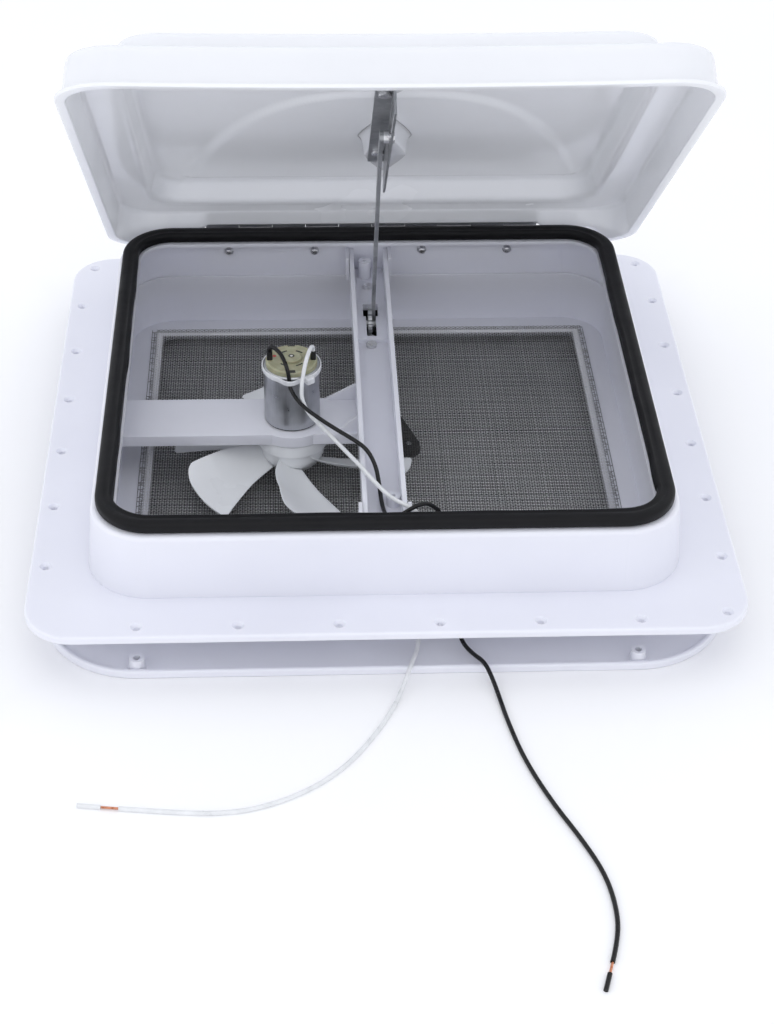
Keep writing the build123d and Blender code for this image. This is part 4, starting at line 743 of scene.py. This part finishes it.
def buildFan(look):
    # hub: its profile turned about the axis; blade: point(s, t) at radius r(s, t), at the angle between
    # its two edges at t, falling from the leading height to the trailing one by (1 - t)^curl, its tip cut
    # back by a quarter ellipse at each corner
    profile = roundedLine(look["hub"], look["hubTrims"], look["hubSteps"])
    around = np.linspace(0, 2 * np.pi, look["around"], endpoint=False)
    ring = np.stack([profile[:, 0][:, None] * np.cos(-around), profile[:, 0][:, None] * np.sin(-around),
                     profile[:, 1][:, None] + 0 * around], -1)
    tips = np.array([[0, 0, look["hub"][end][1]] for end in (0, -1)])
    points = [tips[:1], ring.reshape(-1, 3), tips[1:]]
    faces = ringFaces(len(profile), len(around))
    count = len(profile) * len(around) + 2
    sSteps, tSteps = look["steps"]
    acrossBlade = 0.5 - 0.5 * np.cos(np.linspace(0, np.pi, tSteps))
    s, t = np.meshgrid(np.linspace(0, 1, sSteps), acrossBlade, indexing="ij")
    front = 1 - np.clip(t / look["cornerShare"], 0, 1)
    rear = np.clip((t - (1 - look["backShare"])) / look["backShare"], 0, 1)
    back = look["corner"] * (1 - np.sqrt(1 - front ** 2)) + look["backCorner"] * (1 - np.sqrt(1 - rear ** 2))
    r = look["root"] + np.sin(0.5 * np.pi * s) * (look["tip"] - back - look["root"])
    leading, trailing, high, low = (np.interp(r, look["byRadius"], look[key])
                                    for key in ("leading", "trailing", "leadingHigh", "trailingLow"))
    angle = np.radians(leading + t * (trailing - leading))
    height = low + (high - low) * (1 - t) ** look["curl"]
    sides = np.clip(1 - (2 * t - 1) ** look["sidePower"], look["thinEdge"], 1)
    half = 0.5 * look["thick"] * np.sqrt(sides * np.clip(1 - s ** look["endPower"], look["thinEdge"], 1))
    index = np.arange(s.size).reshape(s.shape)
    quads = np.stack([index[:-1, :-1], index[1:, :-1], index[1:, 1:], index[:-1, 1:]], -1).reshape(-1, 4)
    rim = np.concatenate([index[0, :-1], index[:-1, -1], index[-1, :0:-1], index[:0:-1, 0]])
    wall = np.stack([rim, np.roll(rim, -1), np.roll(rim, -1) + s.size, rim + s.size], -1)
    bladeFaces = np.concatenate([quads, quads[:, ::-1] + s.size, wall])
    for blade in range(look["blades"]):
        turned = angle + 2 * np.pi / look["blades"] * blade
        x, y = r * np.cos(turned), r * np.sin(turned)
        for side in (1, -1):
            points.append(np.stack([x, y, height + side * half], -1).reshape(-1, 3))
        faces += (bladeFaces + count).tolist()
        count += 2 * s.size
    points = np.concatenate(points) + np.array([*look["axis"], 0])
    return finishPiece(meshPiece("fanRotor", points / 1000, faces), "fan_body", "fan_white", "fan")


# Cable tie round the motor and the black lead; millimetres and degrees
tieLook = {
    "axis": (-58.5, -7.0),
    "radius": 19.25,
    "low": 90.0,
    "width": 3.6,
    "thick": 1.0,
    "square": 0.5,
    "bulgeAt": -94.0,
    "bulge": 2.9,
    "bulgeWidth": 11.0,
    "bulgeSquare": 2.6,
    "around": 240,
    "section": 20,
    "headAt": -57.0,
    "headOut": 2.4,
    "head": (3.1, 2.6, 2.3),
    "headSquare": 0.3,
    "headSteps": (19, 48),
}


def buildTie(look):
    # strap: a rounded oblong section carried round the can, pushed out over the lead; head: a rounded block
    around = np.linspace(0, 2 * np.pi, look["around"], endpoint=False)[:, None]
    v = np.linspace(0, 2 * np.pi, look["section"], endpoint=False)[None, :]
    off = (np.degrees(around) - look["bulgeAt"] + 180) % 360 - 180
    pushed = look["bulge"] * np.exp(-np.abs(off / look["bulgeWidth"]) ** look["bulgeSquare"] / 2)
    r = look["radius"] + 0.5 * look["thick"] + pushed + 0.5 * look["thick"] * power(np.cos(v), look["square"])
    z = look["low"] + 0.5 * look["width"] * (1 + power(np.sin(v), look["square"]))
    strap = np.stack([r * np.cos(around), r * np.sin(around), z + 0 * r], -1)
    faces = loopFaces(*strap.shape[:2])
    rows, columns = look["headSteps"]
    turn = np.linspace(0, 2 * np.pi, columns, endpoint=False)[None, :]
    up = np.linspace(-0.5 * np.pi, 0.5 * np.pi, rows)[1:-1][:, None]
    a, b, c = look["head"]
    square = look["headSquare"]
    level = power(np.cos(up), square)
    deep, wide = b * level * power(np.cos(turn), square), a * level * power(np.sin(turn), square)
    at, out = math.radians(look["headAt"]), look["radius"] + look["headOut"]
    middle = look["low"] + 0.5 * look["width"]
    r = out + deep
    block = np.stack([r * math.cos(at) - wide * math.sin(at), r * math.sin(at) + wide * math.cos(at),
                      middle + c * power(np.sin(up), square) + 0 * r], -1)
    tips = [[out * math.cos(at), out * math.sin(at), middle + side * c] for side in (-1, 1)]
    faces += ringFaces(*block.shape[:2], strap.shape[0] * strap.shape[1])
    points = np.concatenate([strap.reshape(-1, 3), tips[:1], block.reshape(-1, 3), tips[1:]])
    points = points + np.array([*look["axis"], 0])
    return finishPiece(meshPiece("tieStrap", points / 1000, faces), "base_body", "tie_nylon", "cable_tie")


# Hinge fixings: a domed head on the leaf, a shank through the wall, and a small domed nut inside; lines are
# (place along y, radius), the second counted from the inner face of the wall; millimetres
fixingLook = {
    "across": [-105.0, -40.5, 40.5, 105.0],
    "z": 71.5,
    "line": [(193.5, 1.2), (193.3, 2.6), (192.6, 3.6), (191.6, 4.0), (191.45, 4.0), (191.45, 2.0)],
    "nutThick": 3.0,
    "inside": [(0.0, 2.0), (0.0, 3.3), (-0.7, 3.3), (-0.8, 2.6), (-2.4, 2.5), (-2.9, 1.9), (-3.0, 0.8)],
    "domes": (0.1, -0.05),
    "around": 36,
}


def buildFixings(look):
    # each fixing: its line of (place along y, radius) turned about its own axis
    innerWall = 1000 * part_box("hinge_screws")[0][1] + look["nutThick"]
    line = np.array(look["line"] + [(innerWall + along, radius) for along, radius in look["inside"]])
    turn = np.linspace(0, 2 * np.pi, look["around"], endpoint=False)
    points, faces, count = [], [], 0
    for across in look["across"]:
        ring = np.stack([across + line[:, 1][:, None] * np.cos(turn), line[:, 0][:, None] + 0 * turn,
                         look["z"] + line[:, 1][:, None] * np.sin(turn)], -1)
        tips = np.array([[across, line[end, 0] + dome, look["z"]]
                         for end, dome in zip((0, -1), look["domes"])])
        points += [tips[:1], ring.reshape(-1, 3), tips[1:]]
        faces += ringFaces(len(line), len(turn), count)
        count += ring.shape[0] * ring.shape[1] + 2
    points = np.concatenate(points) / 1000
    return finishPiece(meshPiece("hingeFixings", points, faces), "base_body", "screw_steel", "hinge_screws")


buildLid(lidLook)
print("lid made")
buildFan(fanLook)
buildTie(tieLook)
buildFixings(fixingLook)
print("fan, cable tie and hinge fixings made")

# Sealing ring: half side and corner of its outer line, its width and height, and how its inner edge
# wanders; metres
ringLook = {
    "half": 0.1815,
    "corner": 0.035,
    "width": 0.01175,
    "low": 0.084,
    "height": 0.0085,
    "square": 0.62,
    "wander": 0.00035,
    "wanderWaves": [(1.0, 61, 1), (0.7, 23, 2), (0.5, 137, 0)],
    "wanderAbove": -0.5,
    "crease": 0.0009,
    "creaseAt": -0.28,
    "creaseWide": 0.16,
    "creaseVary": 0.3,
    "creaseWave": 19,
    "around": 720,
    "section": 36,
}


def buildRing(look):
    # a bulb seal: a superellipse section carried round the rounded square, creased along the inner third
    # of its top, its inner edge wandering by a sum of slow waves
    point, normal, s = squareLine(look["half"], look["corner"], look["around"])
    v = np.linspace(0, 2 * np.pi, look["section"], endpoint=False)
    across, height = power(np.cos(v), look["square"]), power(np.sin(v), look["square"])
    w, h = 0.5 * look["width"], 0.5 * look["height"]
    wander = sum(size * np.sin(rate * s + start) for size, rate, start in look["wanderWaves"])
    wander = wander[:, None] * look["wander"]
    inner = np.clip(-across, 0, 1)[None, :]
    out = (across * w - w)[None, :] - wander * inner * (height > look["wanderAbove"])
    fromCrease = (across - look["creaseAt"]) / look["creaseWide"]
    crease = look["crease"] * np.exp(-(fromCrease ** 2)) * (height > 0)
    vary = 1 + look["creaseVary"] * np.sin(look["creaseWave"] * s)
    z = look["low"] + h + height[None, :] * h - crease[None, :] * vary[:, None]
    grid = np.empty((len(s), len(v), 3))
    grid[..., :2] = point[:, None, :] + normal[:, None, :] * out[..., None]
    grid[..., 2] = np.maximum(z, look["low"])
    faces = loopFaces(len(s), len(v))
    return finishPiece(meshPiece("sealRing", grid, faces), "base_body", "gasket_black", "lid_gasket")


buildRing(ringLook)
print("sealing ring made")

# Woven screen: wire pitch and radius, half side, height of the weave, and the hole for the crank bush; metres
screenLook = {
    "pitch": 0.00172,
    "wire": 0.00026,
    "half": 0.1665,
    "z": 0.01147,
    "weave": 0.0002,
    "bush": (-0.0012, 0.0885),
    "bushGap": 0.0072,
    "fray": 3,
    "sway": 0.6,
    "drift": 0.12,
    "driftWaves": (19, 7),
    "split": 96,
}


def buildWires(name, look, turned, part, seed):
    # wires side by side: point(u, v) = (place of crossing u, wire v, +-weave where u + v is even or odd),
    # each with a three-sided section, cut at the frayed ends and round the bush
    rng = np.random.default_rng(seed)
    count = int(2 * look["half"] / look["pitch"])
    places = (np.arange(count) - 0.5 * (count - 1)) * look["pitch"]
    chosen = np.arange(count)[part]
    u, v = np.arange(count)[None, :, None], chosen[:, None, None]
    angle = np.array([0.5, 7 / 6, 11 / 6])[None, None, :] * np.pi
    along = places[u] + 0 * v + 0 * angle
    uWave, vWave = look["driftWaves"]
    sway = look["wire"] * look["sway"] * rng.standard_normal((len(chosen), 1, 1))
    sway = sway + look["pitch"] * look["drift"] * np.sin(uWave * places[u] + vWave * places[v])
    across = places[v] + sway + look["wire"] * np.cos(angle)
    sign = np.where((u + v + (1 if turned else 0)) % 2 == 0, 1.0, -1.0)
    z = look["z"] + sign * look["weave"] + look["wire"] * np.sin(angle) + 0 * along
    grid = np.stack([across, along, z] if turned else [along, across, z], -1)
    middle = 0.5 * (grid[:, 1:].mean(2) + grid[:, :-1].mean(2))
    away = np.hypot(middle[..., 0] - look["bush"][0], middle[..., 1] - look["bush"][1])
    first = rng.integers(0, look["fray"], len(chosen))[:, None]
    last = rng.integers(0, look["fray"], len(chosen))[:, None]
    step = np.arange(count - 1)[None, :]
    keep = (away > look["bushGap"]) & (step >= first) & (step < count - 1 - last)
    index = np.arange(len(chosen) * count * 3).reshape(len(chosen), count, 3)
    here, ahead = index[:, :-1], index[:, 1:]
    sides = np.stack([here, ahead, np.roll(ahead, -1, 2), np.roll(here, -1, 2)], -1)[keep].reshape(-1, 4)
    padded = np.pad(keep, ((0, 0), (1, 1)))
    starts, ends = index[padded[:, 1:] & ~padded[:, :-1]], index[~padded[:, 1:] & padded[:, :-1]]
    # the two weaves run opposite ways round, so one has its faces turned
    if turned:
        faces = sides.tolist() + starts.tolist() + ends[:, ::-1].tolist()
    else:
        faces = sides[:, ::-1].tolist() + starts[:, ::-1].tolist() + ends.tolist()
    return finishPiece(meshPiece(name, grid, faces, False), "base_body", "screen_grey")


lower, upper = slice(0, screenLook["split"]), slice(screenLook["split"], None)
wires = [buildWires("screenWarpLeft", screenLook, True, lower, 1),
         buildWires("screenWarpRight", screenLook, True, upper, 2),
         buildWires("screenWeftFront", screenLook, False, lower, 3),
         buildWires("screenWeftBack", screenLook, False, upper, 4)]
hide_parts("insect_screen")
print("screen woven,", sum(len(w.data.polygons) for w in wires), "faces")

# Floor and surroundings: the floor glows a little, but not under the vent; metres
studioLook = {
    "floor": 3.0,
    "floorColor": (0.92, 0.92, 0.93),
    "floorShade": 0.985,
    "floorMottle": 6,
    "floorDetail": 3,
    "floorDull": 0.7,
    "glow": 0.08,
    "glowFrom": 0.19,
    "glowFull": 0.27,
    "world": (0.93, 0.95, 1.0),
    "worldStrength": 1.0,
}


def buildStudio(look):
    s = look["floor"]
    corners = np.array([(-s, -s, 0), (s, -s, 0), (s, s, 0), (-s, s, 0)])
    floor = meshPiece("floor", corners, [[0, 1, 2, 3]], False)
    tree = Tree("floorPale")
    soft = tree.noise(look["floorMottle"], look["floorDetail"])
    darker = tuple(look["floorShade"] * c for c in look["floorColor"])
    shade = tree.blend(tree.span(soft, 0, 1), darker, look["floorColor"])
    tree.link(shade, tree.shader.inputs["Base Color"])
    glow = tree.span(tree.awayFromMiddle(), 0, look["glow"], look["glowFrom"], look["glowFull"])
    tree.link(glow, tree.shader.inputs["Emission Strength"])
    tree.set(Roughness=look["floorDull"], Emission_Color=(1, 1, 1, 1))
    floor.data.materials.append(tree.material)
    world = bpy.data.worlds.new("studio")
    scene.world = world
    world.use_nodes = True
    back = world.node_tree.nodes["Background"]
    back.inputs["Color"].default_value = (*look["world"], 1)
    back.inputs["Strength"].default_value = look["worldStrength"]


# Soft lights, all aimed at the vent: place and size in metres, power in watts
lightAim = (0, 0, 0.1)
lightLook = {
    "above": {"place": (0.0, -0.5, 2.2), "size": 2.0, "power": 1.5, "color": (1.0, 1.0, 1.0)},
    "front": {"place": (0.0, -2.3, 1.6), "size": 2.0, "power": 2.2, "color": (1.0, 1.0, 1.0)},
    "high": {"place": (0.0, -1.6, 2.2), "size": 1.6, "power": 4.5, "color": (1.0, 1.0, 1.0)},
    "left": {"place": (-1.8, -0.9, 1.3), "size": 1.4, "power": 3.6, "color": (0.98, 0.99, 1.0)},
    "right": {"place": (1.8, -0.9, 1.3), "size": 1.4, "power": 0.8, "color": (0.98, 0.99, 1.0)},
}


def buildLight(name, look):
    data = bpy.data.lights.new(name, "AREA")
    data.shape = "SQUARE"
    data.size = look["size"]
    data.energy = look["power"]
    data.color = look["color"]
    light = bpy.data.objects.new(name, data)
    light.location = look["place"]
    light.rotation_euler = (Vector(lightAim) - Vector(look["place"])).to_track_quat("-Z", "Y").to_euler()
    scene.collection.objects.link(light)


buildStudio(studioLook)
for name, look in lightLook.items():
    buildLight(name, look)
scene.view_settings.view_transform = "Standard"
print("studio lit")
